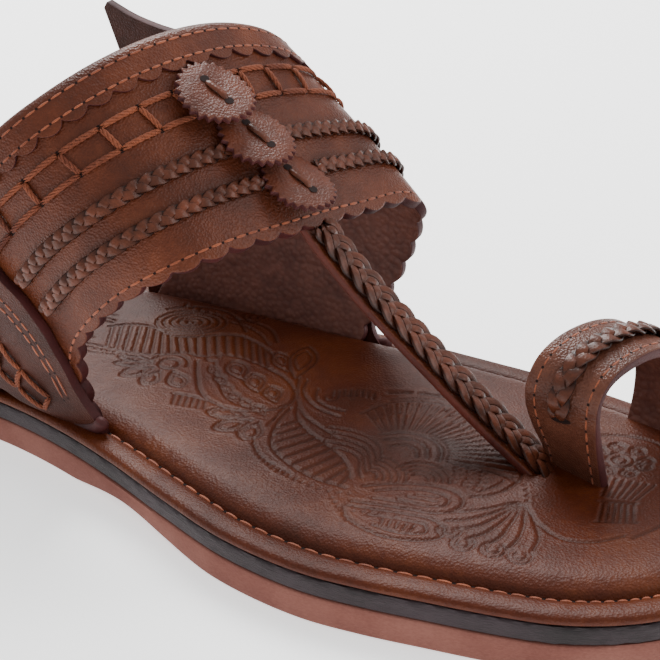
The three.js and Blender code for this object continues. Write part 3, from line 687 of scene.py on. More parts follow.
@dataclass
class SolePlan:
    """The sole's outline and levels."""

    length: float = SOLE_LENGTH
    width: float = BALL_WIDTH
    spring: float = 4.0
    spring_start: float = 0.8
    waist_lift: float = 2.7
    waist: tuple[float, float] = (0.404, 0.593)
    arch_rise: float = 4.0
    arch: tuple[float, float, float, float] = (0.357, 0.362, 0.129, 0.19)
    loop: np.ndarray = field(init=False)
    lateral: np.ndarray = field(init=False)
    medial: np.ndarray = field(init=False)

    def __post_init__(self) -> None:
        """Draws the outline once and readies the distance search."""
        lateral = [(r[0] * self.length, r[1] * self.width) for r in SOLE_ROWS]
        medial = [(r[0] * self.length, r[2] * self.width) for r in SOLE_ROWS][::-1]
        knots = [(0, 0.067 * self.width), *lateral, (self.length, 0), *medial]
        per_span = 60
        self.loop = smooth_line(knots, True, per_span)
        toe = (len(SOLE_ROWS) + 1) * per_span
        closed = np.vstack([self.loop, self.loop[:1]])
        self.lateral = closed[:toe + 1]
        self.medial = closed[toe:][::-1]
        ahead = unit(np.roll(self.loop, -1, axis=0) - np.roll(self.loop, 1, axis=0))
        self.inward = np.stack([-ahead[:, 1], ahead[:, 0]], axis=1)
        self.run = run_of(closed)
        self.tree = kdtree.KDTree(len(self.loop))
        for k, point in enumerate(self.loop):
            self.tree.insert((point[0], point[1], 0), k)
        self.tree.balance()

    def spring_at(self, x: np.ndarray) -> np.ndarray:
        """Rise of the whole sole towards the toe, at places x from the heel's end."""
        start = self.spring_start * self.length
        return self.spring * np.maximum(0, (x - start) / (self.length - start)) ** 2

    def waist_at(self, x: np.ndarray) -> np.ndarray:
        """Lift of the outsole's underside between heel and ball, at places x from the heel's end."""
        part = np.clip((x / self.length - self.waist[0]) / (self.waist[1] - self.waist[0]), 0, 1)
        return self.waist_lift * np.sin(np.pi * part ** 0.8) ** 2

    def arch_at(self, x: np.ndarray, y: np.ndarray) -> np.ndarray:
        """Rise of the cushion under the arch of the foot.

        Args:
            x: Places from the heel's back end.
            y: Places from the middle line.

        Returns:
            The rise at each place.
        """
        along = (x / self.length - self.arch[0]) / self.arch[2]
        across = (y / self.width - self.arch[1]) / self.arch[3]
        return self.arch_rise * np.exp(-(along ** 2) - across ** 2)

    def ring(self, share: np.ndarray, inset: np.ndarray) -> np.ndarray:
        """Points at an inset from the outline.

        Args:
            share: Place round the outline, from the heel along the lateral side and back.
            inset: Distance inwards.

        Returns:
            Their X and Y.
        """
        turned = np.where(share <= 0.5, share * 2, 2 - share * 2)
        crowded = turned - 0.085 * np.sin(2 * np.pi * turned)
        lateral = self.inset_from(self.lateral, crowded, inset)
        medial = self.inset_from(self.medial, crowded, inset)
        return np.where((share <= 0.5)[:, None], lateral, medial)

    def inset_from(self, side: np.ndarray, shares: np.ndarray, inset: np.ndarray) -> np.ndarray:
        """Points inwards from one side of the outline.

        Args:
            side: The side's line.
            shares: Shares of its length.
            inset: Distance inwards of each point.

        Returns:
            Their X and Y.
        """
        point = evenly(side, shares)
        near = [self.tree.find((p[0], p[1], 0))[1] for p in point]
        return point + self.inward[near] * np.asarray(inset)[:, None]

    def edge_distance(self, xy: np.ndarray) -> tuple[np.ndarray, np.ndarray]:
        """Distance from the outline and place along it.

        Args:
            xy: Points inside the outline.

        Returns:
            The distances and the lengths along the outline.
        """
        found = [self.tree.find((p[0], p[1], 0)) for p in xy]
        index = np.array([f[1] for f in found])
        gap = xy - self.loop[index]
        return np.sum(gap * self.inward[index], axis=1), self.run[index]


@dataclass
class BandSurface:
    """The instep band's outer face: around its girth, along its width, and a lift."""

    crown: float = 1.5

    def ruled(self, around: np.ndarray, along: np.ndarray) -> np.ndarray:
        """Points ruled between the back and the front edge.

        Args:
            around: Shares of the girth from the lateral foot.
            along: Shares of the width from the back edge.

        Returns:
            Points in millimetres, in the heel's frame.
        """
        place = around * (len(BAND_BACK) - 1)
        scale = np.array([SOLE_LENGTH, BALL_WIDTH, INSTEP_RISE])
        back = column_at(BAND_BACK, place) * scale
        front = column_at(BAND_FRONT, place) * scale
        point = back + (front - back) * along[..., None]
        return point + np.array([0, 0, FOOT_LEVEL])

    def normal(self, around: np.ndarray, along: np.ndarray) -> np.ndarray:
        """Outward normals.

        Args:
            around: Shares of the girth from the lateral foot.
            along: Shares of the width from the back edge.

        Returns:
            One normal for each place.
        """
        tiny = 0.002
        ahead, behind = np.minimum(around + tiny, 1), np.maximum(around - tiny, 0)
        run = self.ruled(ahead, along) - self.ruled(behind, along)
        width = self.ruled(around, along + tiny) - self.ruled(around, along - tiny)
        return unit(np.cross(width, run))

    def at(self, around: np.ndarray, along: np.ndarray, lift: np.ndarray) -> np.ndarray:
        """Points of the face in the solids' frame.

        Args:
            around: Shares of the girth from the lateral foot.
            along: Shares of the width from the back edge.
            lift: Heights over the face.

        Returns:
            Points in millimetres.
        """
        around, along, lift = np.broadcast_arrays(*(np.asarray(a, float) for a in (around, along, lift)))
        inside = np.clip(along, 0, 1)
        swell = self.crown * 4 * inside * (1 - inside)
        point = self.ruled(around, along) + self.normal(around, along) * (swell + lift)[..., None]
        point[..., 2] = np.maximum(point[..., 2], FOOT_LEVEL)
        return point - ORIGIN

    def girth(self, along: float) -> tuple[np.ndarray, np.ndarray]:
        """Lengths round the band, at one share along.

        Args:
            along: Share of the width from the back edge.

        Returns:
            Shares of the girth and the length to each.
        """
        shares = np.linspace(0, 1, 681)
        return shares, run_of(self.at(shares, along, 0))

    def width(self) -> float:
        """The band's width over the instep."""
        return float(np.linalg.norm(self.at(0.5, 0.0, 0) - self.at(0.5, 1.0, 0)))


@dataclass
class RingSurface:
    """The toe ring's outer face: a place in rows of its table, across from rear to front."""

    span: float = 31.6
    height: float = 37.0
    width: float = 16.8
    turn: float = math.radians(-18.4)

    def plain(self, place: np.ndarray, across: np.ndarray) -> np.ndarray:
        """Points of the face.

        Args:
            place: Places in rows of the ring's table.
            across: Shares of the width from the rear edge.

        Returns:
            Points in millimetres, in the heel's frame.
        """
        run = np.array([math.sin(-self.turn), math.cos(self.turn), 0])
        ahead = np.array([math.cos(self.turn), math.sin(self.turn), 0])
        start = np.array([0.789 * SOLE_LENGTH, 0.067 * BALL_WIDTH, FOOT_LEVEL])
        blend = column_at(RING_REAR, place)
        blend = blend + (column_at(RING_FRONT, place) - blend) * across[..., None]
        point = start + run * blend[..., :1] * self.span + ahead * across[..., None] * self.width
        point[..., 2] += blend[..., 1] * self.height
        return point

    def at(self, place: np.ndarray, across: np.ndarray, lift: np.ndarray) -> np.ndarray:
        """Points of the face in the solids' frame.

        Args:
            place: Places in rows of the ring's table.
            across: Shares of the width from the rear edge.
            lift: Heights over the face.

        Returns:
            Points in millimetres.
        """
        place, across, lift = np.broadcast_arrays(*(np.asarray(a, float) for a in (place, across, lift)))
        tiny = 0.02
        last = len(RING_REAR) - 1
        ahead, behind = np.minimum(place + tiny, last), np.maximum(place - tiny, 0)
        run = self.plain(ahead, across) - self.plain(behind, across)
        width = self.plain(place, across + tiny) - self.plain(place, across - tiny)
        point = self.plain(place, across) + unit(np.cross(width, run)) * lift[..., None]
        return point - ORIGIN


# ---------- the tooled pattern

@dataclass
class Tooling:
    """The pattern pressed into the footbed: leaves, petals, rays and scrolls as grooves.

    Places are in millimetres from the heel's back end and the sole's middle line.
    """

    step: float = 0.25
    points: list[np.ndarray] = field(default_factory=list)
    widths: list[np.ndarray] = field(default_factory=list)

    def __post_init__(self) -> None:
        """Draws every motif."""
        self.draw_bars_leaf()
        self.draw_mango()
        self.draw_flowers()
        self.draw_ladder()
        self.draw_sunburst()
        self.draw_paisleys()
        self.draw_toe_group()
        self.mirror_to_heel()

    def groove(self, line: np.ndarray, width: float) -> None:
        """Adds one groove.

        Args:
            line: Its dense line.
            width: Its width.
        """
        count = max(2, int(length_of(line) / self.step))
        self.points.append(evenly(line, np.linspace(0, 1, count)))
        self.widths.append(np.full(count, width))

    def curve(self, *knots: tuple[float, float], width: float = 1.0, closed: bool = False) -> np.ndarray:
        """Adds a smooth groove through knots.

        Args:
            knots: Its points.
            width: The groove's width.
            closed: Whether it is a loop.

        Returns:
            The dense line, for motifs that hang on it.
        """
        line = smooth_line(knots, closed, 16)
        if closed:
            line = np.vstack([line, line[:1]])
        self.groove(line, width)
        return line

    def petal(self, base: tuple[float, float], tip: tuple[float, float], wide: float,
              width: float = 0.9, inner: float = 0.5) -> None:
        """Adds a petal with a smaller one inside.

        Args:
            base: Its narrow end.
            tip: Its round end.
            wide: Its full breadth.
            width: The groove's width.
            inner: Size of the inner petal, or 0 for none.
        """
        start, end = np.array(base, float), np.array(tip, float)
        ahead = end - start
        side = np.array([-ahead[1], ahead[0]]) / np.linalg.norm(ahead)
        t = np.linspace(0, 1, 24)
        half = np.sin(np.pi * t ** 1.35) ** 0.8
        for scale in (1.0, inner):
            if scale <= 0:
                continue
            origin = start + ahead * (1 - scale) * 0.62
            left = origin + np.outer(t, ahead) * scale + np.outer(half, side) * wide / 2 * scale
            right = origin + np.outer(t, ahead) * scale - np.outer(half, side) * wide / 2 * scale
            self.groove(np.vstack([left, right[::-1]]), width if scale == 1 else width * 0.8)

    def bars(self, first: np.ndarray, last: np.ndarray, count: int, lean: float = 0.0,
             width: float = 0.9, reach: tuple[float, float] = (0.06, 0.94)) -> None:
        """Adds straight grooves from one line to another.

        Args:
            first: Line that they start on.
            last: Line that they end on.
            count: How many.
            lean: How far their ends run ahead, as a share of the last line.
            width: The groove's width.
            reach: Where each starts and ends between the two lines.
        """
        shares = (np.arange(count) + 0.5) / count * (1 - abs(lean))
        starts = evenly(first, shares + max(-lean, 0))
        ends = evenly(last, shares + max(lean, 0))
        for a, b in zip(starts, ends):
            self.groove(np.array([a + (b - a) * reach[0], a + (b - a) * reach[1]]), width)

    def arcs(self, centre: tuple[float, float], radii: Iterable[float], start: float, end: float,
             width: float = 0.9, squash: float = 1.0, turn: float = 0.0) -> None:
        """Adds concentric arcs.

        Args:
            centre: Their middle.
            radii: One radius for each.
            start: First angle in degrees.
            end: Last angle in degrees.
            width: The groove's width.
            squash: Height over width of each arc.
            turn: Turn of the squashed shape in degrees.
        """
        angle = np.radians(np.linspace(start, end, 40))
        spin = math.radians(turn)
        for radius in radii:
            x, y = radius * np.cos(angle), radius * squash * np.sin(angle)
            line = np.stack([centre[0] + x * math.cos(spin) - y * math.sin(spin),
                             centre[1] + x * math.sin(spin) + y * math.cos(spin)], axis=1)
            self.groove(line, width)

    def dots(self, line: np.ndarray, count: int, size: float = 1.0) -> None:
        """Adds a row of pressed dots along a line."""
        for point in evenly(np.asarray(line, float), np.linspace(0, 1, count)):
            self.groove(np.array([point, point + 0.3]), size)

    def draw_bars_leaf(self) -> None:
        """The long leaf of slanted bars, with a leaf of concentric ovals over it."""
        top = self.curve((92, 10.5), (96, 13.5), (101, 15.3), (105, 15.2), (109, 14.4), (113, 15),
                         (117.5, 17.3), (122, 20.5), (127, 22.6), (132, 22), (137, 20.4), (141, 17.5))
        low = self.curve((92, 0.4), (98, 1.1), (104, 1.6), (110, 3), (115, 6), (119, 8.8),
                         (123, 9), (127, 12), (132, 13.6), (138, 13.2), (143, 12.4), width=0.9)
        self.bars(top, low, 19, 0.1, 1.1)
        self.curve((92, -1.2), (98, -0.6), (103, 0.2), (108, 0.6), width=0.7)
        self.curve((93, -3.6), (98, -2.6), (103, -1.2), width=0.7)
        self.arcs((111.5, 22), (9.6, 7.6, 5.4, 3.2, 1.1), 0, 360, 0.85, 0.58, 24)
        self.curve((102, 24.5), (106, 28), (112, 31), (118, 31.2), (123, 28.5), (127, 25.2))
        for k in range(9):
            self.bars(np.array([(105 + k * 2.3, 27.3 + k * 0.2), (106 + k * 2.3, 27.6 + k * 0.2)]),
                      np.array([(104.4 + k * 2.5, 29.4 - k * 0.1), (105.4 + k * 2.5, 29.8 - k * 0.1)]), 1)
        self.arcs((124.5, 33.5), (1.2, 2.8), 20, 330)
        self.curve((120.5, 29.5), (124, 30), (129, 30.5), (133, 29), (137, 25))
        self.curve((121, 27.2), (126, 27.4), (131, 26), (136, 22.6), width=0.8)

    def draw_mango(self) -> None:
        """The large mango form with three hearts and a row of feathers."""
        self.curve((124, 6.5), (127, 2), (130, -2), (133, -5.5), (137, -8.3), (142, -9.4), (147, -9),
                   (152, -6.5), (155, -3), (156.3, 0.5), (155, 4.5), (152, 8), (147.5, 10.8),
                   (142, 12.4), width=1.2)
        self.curve((128.4, 8.6), (132, 3.4), (136.5, -1.4), (141.5, -5.6), (147, -6.6), (151.5, -4.4),
                   width=0.8)
        for base, tip, wide in (((139.6, 4.4), (132, 11.2), 5.4), ((146.2, 0.8), (140.2, 8.2), 5),
                                ((152.8, -1.2), (147.4, 5), 4.4)):
            self.petal(base, tip, wide, 1.1, 0.55)
        for x, y in ((128.4, 6.2), (132.2, 3.2), (136, 0.4), (140.2, -2.2), (144.6, -4), (149, -4.8)):
            self.petal((x + 5, y - 3.4), (x, y), 2.6, 0.8, 0.45)
        self.arcs((126.6, 9.8), (1.6,), 40, 330)

    def draw_flowers(self) -> None:
        """The half flower, its comb, the lower petals and the heart leaf."""
        self.arcs((118.3, 2), (2.6,), 60, 400, 1.3)
        self.arcs((118.3, 2), (5,), 10, 200, 1.0)
        for tip, wide in (((104.4, -1.2), 2.8), ((105.6, -4.6), 3.2), ((111, -9.2), 4.6),
                          ((119, -10.4), 4.8), ((128, -6.6), 5)):
            ahead = unit(np.array(tip) - (118.3, 2))
            self.petal(tuple(np.array((118.3, 2)) + ahead * 4.2), tip, wide, 1.1, 0.6)
        comb = self.curve((128, -10.2), (132, -9.2), (138, -8.9))
        self.bars(comb, np.array([(130.2, -14.8), (134, -14), (140, -12.6)]), 6, 0, 0.9, (0, 1))
        for base, tip, wide in (((150.5, -10.2), (140.6, -13.2), 5), ((152.4, -11.4), (146.6, -19.4), 5.4),
                                ((154.6, -11.6), (155.6, -20), 5.6)):
            self.petal(base, tip, wide, 1.2, 0.62)
        self.petal((150.6, 11.4), (145.2, 27.4), 7, 1.0, 0.6)
        self.petal((147.2, 13.6), (139.6, 20.6), 4.6, 0.9, 0.5)
        dash = smooth_line([(162, 10), (165, 13.2), (168.6, 15), (172.4, 15.4)], False, 12)
        self.bars(dash, dash + np.array([1.6, -3.2]), 8)
        self.curve((154, 12), (155.6, 7.4), (160, 3.2), (165, 1), (170, 0.5))
        self.curve((158.5, 9.6), (160.4, 5.6), (164.4, 3.4), (169.6, 3.4))
        self.curve((151.4, 12.4), (154.4, 6.6), (158.2, 0.8), (163, -3.6), (169, -6.2), (174, -8))
        self.arcs((163.6, 7.6), (1.5,), 0, 360, 0.8)

    def draw_ladder(self) -> None:
        """The ladder panel between two long curves, with a beaded side."""
        left = self.curve((157.6, -2), (158.4, -9), (160, -14), (162.5, -18.8), (167, -22.2),
                          (173, -24.9), (180, -26.4), (187, -26.2))
        right = self.curve((158.5, -0.5), (162, -5.5), (167, -9.2), (172, -11.4), (177, -13.8),
                           (182, -17.2), (186, -22.2))
        self.bars(left[20:], right[14:], 10, 0, 1.1)
        self.curve((156, -1), (156.6, -6), (157.2, -11.8), width=0.8)
        self.dots(smooth_line([(158.4, -20.4), (162.6, -24.4), (168, -27.2), (175, -29)], False, 8), 12)
        self.dots(smooth_line([(177, -29.4), (184, -29.6), (188.6, -28.2)], False, 8), 6, 0.8)
        self.curve((157, -17.8), (160.6, -22.4), (166, -25.4), (173, -27.2), width=0.7)

    def draw_sunburst(self) -> None:
        """The half sun with its rays, its rows of scales and its dotted field."""
        rise = self.curve((183, -1.4), (186.5, 1.6), (191, 2.7), (195.5, 1.8), (198.7, -1.2),
                          (200.2, -5.4), width=1.6)
        self.curve((185, -3.2), (188, -0.9), (191.5, -0.2), (194.8, -1.6), (197.2, -5.4), width=1.2)
        self.curve((187.2, -5.2), (190, -3.2), (193, -3.6), (195, -6.6), width=1.1)
        rim = self.curve((174, 4.6), (176.4, 11), (180.6, 15.4), (186.4, 17.8), (193, 18.8), (200, 18.3),
                         (206, 15.6), (211.4, 11.2), (215.6, 5.6), (219, -1.2), (219.8, -4.6))
        self.curve((177, 13.8), (182, 17.8), (188, 19.8), (195, 20.4), (201, 19.6), width=0.8)
        self.bars(rise, rim, 22, 0, 1.0, (0.1, 0.93))
        self.bars(rise, rim, 21, 0.02, 0.7, (0.58, 0.9))
        for block in (((175, 17.2), (179.4, 19.8)), ((181.8, 20.8), (187.4, 22)),
                      ((190.4, 22.2), (196, 22.6))):
            self.curve(*block, width=1.7)
        for k in range(5):
            self.curve((170 + k * 0.9, -5 - 2 * k), (176 + k * 0.8, -3.8 - 2.1 * k),
                       (182 + k * 0.4, -4.6 - 2.3 * k), (186, -7.6 - 2.7 * k), (188, -11.4 - 2.4 * k),
                       width=0.85)
        self.arcs((188, -20), (3, 4.7, 6.4, 8.1, 9.8), 8, 92)
        self.arcs((199.6, -14.8), (2.2, 3.8, 5.4, 7), 15, 165)
        self.curve((201, -4), (207, -3.4), (214, -3.8), (219.6, -4.6), width=1.1)
        self.curve((219.4, -5), (218.6, -9), (216.2, -13), (213, -15.6))
        self.curve((216.6, -5.4), (215.8, -9), (213.6, -12.6), width=0.8)
        for x in (204, 207.2, 210.4):
            self.dots(np.array([(x, -5.2), (x + 1.6, -8.6), (x + 2, -12.4)]), 6, 0.9)
            self.dots(np.array([(x + 1.5, -5.2), (x + 3, -8.6), (x + 3.3, -12.2)]), 5, 0.7)

    def draw_paisleys(self) -> None:
        """Two paisleys by the sole's edge, with dotted backs."""
        self.curve((190, -23.5), (195, -19.5), (200, -16.8), (206, -15.2), (210.5, -16), (212.6, -19),
                   (211.6, -23), (208, -25.5), (203, -26.8), (196, -28.6), (190.5, -30.2), width=1.3)
        self.curve((193, -24), (198, -20.4), (204, -18), (208.6, -18.4), (209.6, -21.2), (206, -23.6),
                   (200, -25.2), (194, -26.8), width=1.0)
        for a, b in (((199, -24.2), (206.4, -23.8)), ((200.6, -22.4), (207, -21)),
                     ((202, -20.8), (206.6, -19.2))):
            self.curve(a, b, width=1.0)
        self.curve((190.5, -32), (197, -30.4), (203, -28.8), (209, -27.8), (213.2, -29.5), (213.8, -33),
                   (210, -36.2), (204, -38.2), (198, -38), (193, -36.2), (190, -33), width=1.2)
        self.curve((196, -33.2), (203, -31.2), (209, -30.6), (210.2, -33), (205, -35.8), (199, -36))
        self.bars(np.array([(199, -33), (208, -31.4)]), np.array([(200, -35.6), (208, -34.2)]), 5, 0, 0.8)
        self.dots(np.array([(193, -33.6), (197, -31.8), (202, -30.4)]), 6, 0.7)
        self.dots(np.array([(186, -31.6), (190, -34.6), (193, -37.4)]), 6, 0.8)

    def draw_toe_group(self) -> None:
        """The plume, scrolls, ladder and flower in front of the post strap and the toe ring."""
        for mid, low, end in (
            ((218.4, -17.6), (214, -21.6), (210, -24.4)), ((219.8, -19), (216, -24), (212, -26.8)),
            ((221.4, -20), (218.4, -26), (215, -29)), ((223, -21), (221.5, -27), (219, -30.6)),
            ((225, -21), (225, -27), (223.4, -30.6)), ((227.6, -20), (228.6, -26), (228, -30)),
            ((229.8, -18.6), (232.4, -23), (233, -27.4)),
        ):
            self.curve((222.6 + (mid[0] - 218) * 0.2, -12.4), mid, low, end)
        for centre in ((214.4, -29.6), (219, -32.4), (225.4, -31.2), (231.4, -30.6)):
            self.arcs(centre, (1.4, 2.6), 150, 420, 0.8)
        self.dots(smooth_line([(221.4, -5), (223, -8), (224.4, -11)], False, 8), 4, 0.8)
        self.curve((226, -14), (231, -18.5), (237, -20.8), (243, -19), (248, -14))
        left = self.curve((238.6, -3), (246, -0.6), width=0.9)
        right = self.curve((240.6, -11.4), (248.6, -8), width=0.9)
        self.bars(left, right, 6, 0, 1.0)
        self.arcs((236.4, 15.6), (1.6, 3.2), 0, 360)
        for degrees in range(20, 360, 48):
            ahead = np.array([math.cos(math.radians(degrees)), math.sin(math.radians(degrees))])
            self.petal(tuple((236.4, 15.6) + ahead * 3.8), tuple((236.4, 15.6) + ahead * 7.6), 3.6, 0.9, 0.5)
        fan = np.array([(236, 7), (248, 9)])
        self.bars(fan, np.array([(237.6, -1.6), (246, 0.4)]), 7, 0, 0.9)
        self.curve((226, 22), (232, 26), (240, 27), (247, 23))
        self.curve((250, -14), (254, -6), (255.4, 3), (253, 12), (248, 19))

    def mirror_to_heel(self) -> None:
        """Repeats the leaf, the mango and the flower towards the heel, turned about the arch."""
        for line, width in list(zip(self.points, self.widths)):
            if line[:, 0].min() > 91 and line[:, 0].max() < 158:
                turned = np.stack([184 - line[:, 0], 13 - line[:, 1] * 0.86], axis=1)
                if turned[:, 0].min() > 20:
                    self.points.append(turned)
                    self.widths.append(width)

    def relief(self, xy: np.ndarray, depth: float = 0.42) -> tuple[np.ndarray, np.ndarray]:
        """Height of the pressed pattern.

        Args:
            xy: Places on the footbed.
            depth: Depth of a groove.

        Returns:
            The height at each place, and how deep it lies as a share, which darkens the groove as painted
            shade.
        """
        points, widths = np.vstack(self.points), np.concatenate(self.widths)
        tree = kdtree.KDTree(len(points))
        for k, point in enumerate(points):
            tree.insert((point[0], point[1], 0), k)
        tree.balance()
        found = [tree.find((p[0], p[1], 0)) for p in xy]
        gap = np.array([f[2] for f in found])
        half = widths[[f[1] for f in found]] / 2
        press = np.exp(-(gap / (half * 0.72)) ** 2)
        lip = np.exp(-(((gap - half * 1.9) / half) ** 2))
        # The second value darkens the sock's colour in the grooves: painted shade.
        return depth * (0.28 * lip - press), press * 0.5


# ---------- sewing and plaiting

def prick(pricks: BMesh, holes: np.ndarray, ups: np.ndarray, radius: float) -> None:
    """Adds dark discs at needle holes: painted shade of each hole's depth.

    Args:
        pricks: The bmesh that takes them.
        holes: The holes' places.
        ups: The surface's normal at each hole.
        radius: Their radius.
    """
    for hole, up in zip(holes, ups):
        side = unit(np.cross(up, (1.0, 0.3, 0.1)))
        place = basis(side, np.cross(up, side), up, hole + up * 0.02)
        bmesh.ops.create_circle(pricks, cap_ends=True, segments=8, radius=radius, matrix=place)


def stitch_row(threads: BMesh, pricks: BMesh, holes: np.ndarray,
               ups: np.ndarray, wide: float, high: float) -> None:
    """Adds a row of stitches between pricked holes.

    Args:
        threads: The bmesh of the stitches.
        pricks: The bmesh of the holes.
        holes: The holes' places.
        ups: The surface's normal at each hole.
        wide: The thread's width.
        high: How far a stitch stands up.
    """
    for here, after, up in zip(holes, holes[1:], ups):
        gap = after - here
        spindle(threads, here + gap * 0.1, after - gap * 0.1, up, wide, high, 0.06)
    prick(pricks, holes, ups, wide / 2)


def on_surface(at: Callable, line: np.ndarray, lift: float = 0.0) -> tuple[np.ndarray, np.ndarray]:
    """Places of a line on a face, with the face's normals.

    Args:
        at: The face: takes two coordinates and a lift to a place.
        line: The line in the face's coordinates.
        lift: Its height over the face.

    Returns:
        The places and the normals.
    """
    low = at(line[:, 0], line[:, 1], lift)
    return low, unit(at(line[:, 0], line[:, 1], lift + 1.0) - low)


@dataclass(frozen=True)
class Plait:
    """A flat three-strand plait, each strand of one thong or of several side by side."""

    period: float
    swing: float
    rise: float
    wide: float
    thick: float
    thongs: int = 1
    per_period: int = 20
    sides: int = 10
    square: float = 0.6

    def strands(self, bm: BMesh, at: Callable, length: float, base: float) -> None:
        """Adds the plait along a face.

        Args:
            bm: The bmesh that takes it.
            at: Takes a length along the plait, an offset across it and a lift to a place.
            length: The plait's length.
            base: Lift of its underside.
        """
        bm.verts.layers.float.new("pressed")
        count = max(8, int(length / self.period * self.per_period))
        t = np.linspace(0, length, count)
        middle = base + self.rise + self.thick / 2
        for strand in range(3):
            phase = 2 * np.pi * (t / self.period + strand / 3)
            swing = np.sin(phase) * self.swing
            lift = middle + np.sin(2 * phase) * self.rise
            centre = at(t, swing, lift)
            up = unit(at(t, swing, lift + 1.0) - centre)
            side = unit(np.cross(up, np.gradient(centre, axis=0)))
            # Painted shade: darkest where the strand dips under the others.
            shade = (0.5 - 0.5 * np.sin(2 * phase)) ** 1.5
            for thong in range(self.thongs):
                offset = (thong - (self.thongs - 1) / 2) * self.wide / self.thongs
                tube(bm, centre + side * offset, up, self.wide / self.thongs * 1.02, self.thick,
                     self.sides, self.square, shade)


# ---------- sole

@dataclass
class Sole:
    """Outsole, midsole, stitched rim and tooled cushion."""

    finishes: Finishes
    plan: SolePlan
    tooling: Tooling
    around: int = 720
    groove_inset: float = 7.2
    groove_depth: float = 0.9
    cushion_inset: float = 7.3
    cushion_rise: float = 3.0
    cushion_ease: float = 2.6
    gather_depth: float = 0.3
    tread_pitch: float = 12.0
    stitches: int = 200
    stitch_inset: float = 6.9
    stitch_level: float = 13.15
    stitch_size: tuple[float, float] = (0.95, 0.42)
    outsole_top: float = 7.0
    midsole_foot: float = 7.25
    midsole_top: float = 11.8

    def laid(self, xy: np.ndarray, z: np.ndarray) -> np.ndarray:
        """Places in the solids' frame from the outline's X and Y and a level."""
        lifted = z + self.plan.spring_at(xy[:, 0])
        return np.column_stack([xy, lifted]) - ORIGIN

    def band(self, profile: Sequence[tuple[float, float]], waisted: bool = False) -> BMesh:
        """A band round the outline.

        Args:
            profile: Inset and level of each line round the shoe, from below outwards and up.
            waisted: Whether its foot follows the lifted waist.

        Returns:
            The band.
        """
        rows = np.array(profile)
        bm = flat_grid(self.around, len(rows) - 1)
        flat = read(bm)
        row = np.rint(flat[:, 1] * (len(rows) - 1)).astype(int)
        xy = self.plan.ring(flat[:, 0], rows[row, 0])
        z = rows[row, 1]
        if waisted:
            z = z + self.plan.waist_at(xy[:, 0]) * (1 - z / rows[-1, 1])
        write(bm, self.laid(xy, z))
        bmesh.ops.remove_doubles(bm, verts=bm.verts, dist=1e-4)
        return bm

    def plate(self, bm: BMesh, inset: float, columns: int, rows: int,
              level: Callable[[np.ndarray], np.ndarray], flip: bool = False,
              stations: np.ndarray | None = None) -> np.ndarray:
        """Adds a sheet that fills the outline.

        Args:
            bm: The bmesh that takes it.
            inset: Its edge's distance from the outline.
            columns: Faces from heel to toe.
            rows: Faces across.
            level: Height of the sheet at X and Y.
            flip: Whether it looks down.
            stations: Shares of each side's length for its columns, or None for the outline's own.

        Returns:
            The X and Y of the new vertices in the heel's frame.
        """
        made = bmesh.ops.create_grid(bm, x_segments=columns, y_segments=rows, size=0.5)
        verts = made["verts"]
        flat = np.array([v.co for v in verts]) + 0.5
        inwards = np.full(len(flat), inset)
        if stations is None:
            lateral = self.plan.ring(flat[:, 0] / 2, inwards)
            medial = self.plan.ring(1 - flat[:, 0] / 2, inwards)
        else:
            shares = stations[np.rint(flat[:, 0] * columns).astype(int)]
            lateral = self.plan.inset_from(self.plan.lateral, shares, inwards)
            medial = self.plan.inset_from(self.plan.medial, shares, inwards)
        xy = lateral + (medial - lateral) * flat[:, 1:2]
        for vertex, place in zip(verts, self.laid(xy, level(xy))):
            vertex.co = place
        if flip:
            bmesh.ops.reverse_faces(bm, faces=list({f for v in verts for f in v.link_faces}))
        return xy

    def tread(self, xy: np.ndarray) -> np.ndarray:
        """Level of the underside, with its grooves across heel and forefoot.

        Args:
            xy: Places on the sole.

        Returns:
            The level at each place.
        """
        floor = self.plan.waist_at(xy[:, 0])
        half = self.tread_pitch / 2
        groove = np.exp(-(((xy[:, 0] + half) % self.tread_pitch - half) / 0.9) ** 4)
        return floor + groove * (floor < 0.05)

    def build_outsole(self) -> None:
        """The rubber sole with a rounded foot and a faint line round its side."""
        foot, shoulder = 0.8, 0.35
        bm = self.band([(foot, 0), (0.25, 0.25), (0, 0.8), (0, 3), (-0.12, 4.2), (0, 5), (0, 6.6),
                        (shoulder, self.outsole_top)], True)
        self.plate(bm, foot, self.around // 2, 24, self.tread, True)
        self.plate(bm, shoulder, self.around // 2, 4, lambda xy: np.full(len(xy), self.outsole_top))
        bmesh.ops.remove_doubles(bm, verts=bm.verts, dist=1e-3)
        finish_mesh("outsole_rubber", bm, [self.finishes.rubber], Slot.OUTSOLE, ["outsole"])

    def build_midsole(self) -> None:
        """The dark stacked layer, with a burnished and slightly uneven side."""
        foot, shoulder = 0.9, 1.0
        bm = self.band([(foot, self.midsole_foot), (0.25, 7.4), (0.05, 8), (0.1, 9), (-0.05, 9.9),
                        (0.05, 11), (0.3, 11.6), (shoulder, self.midsole_top)])
        places = read(bm)
        _, run = self.plan.edge_distance(places[:, :2] + ORIGIN[:2])
        outwards = unit(places - places.mean(axis=0)) * (1, 1, 0)
        side = (places[:, 2] > 7.6) & (places[:, 2] < 15)
        places += outwards * (0.16 * waves(run + places[:, 2] * 3, 7, 21) * side)[:, None]
        places += outwards * (0.1 * waves(run - places[:, 2] * 2, 2.4, 22) * side)[:, None]
        write(bm, places)
        self.plate(bm, foot, self.around // 2, 4, lambda xy: np.full(len(xy), self.midsole_foot), True)
        self.plate(bm, shoulder, self.around // 2, 4, lambda xy: np.full(len(xy), self.midsole_top))
        bmesh.ops.remove_doubles(bm, verts=bm.verts, dist=1e-3)
        finish_mesh("midsole_stack", bm, [self.finishes.midsole], Slot.MIDSOLE, ["midsole"])

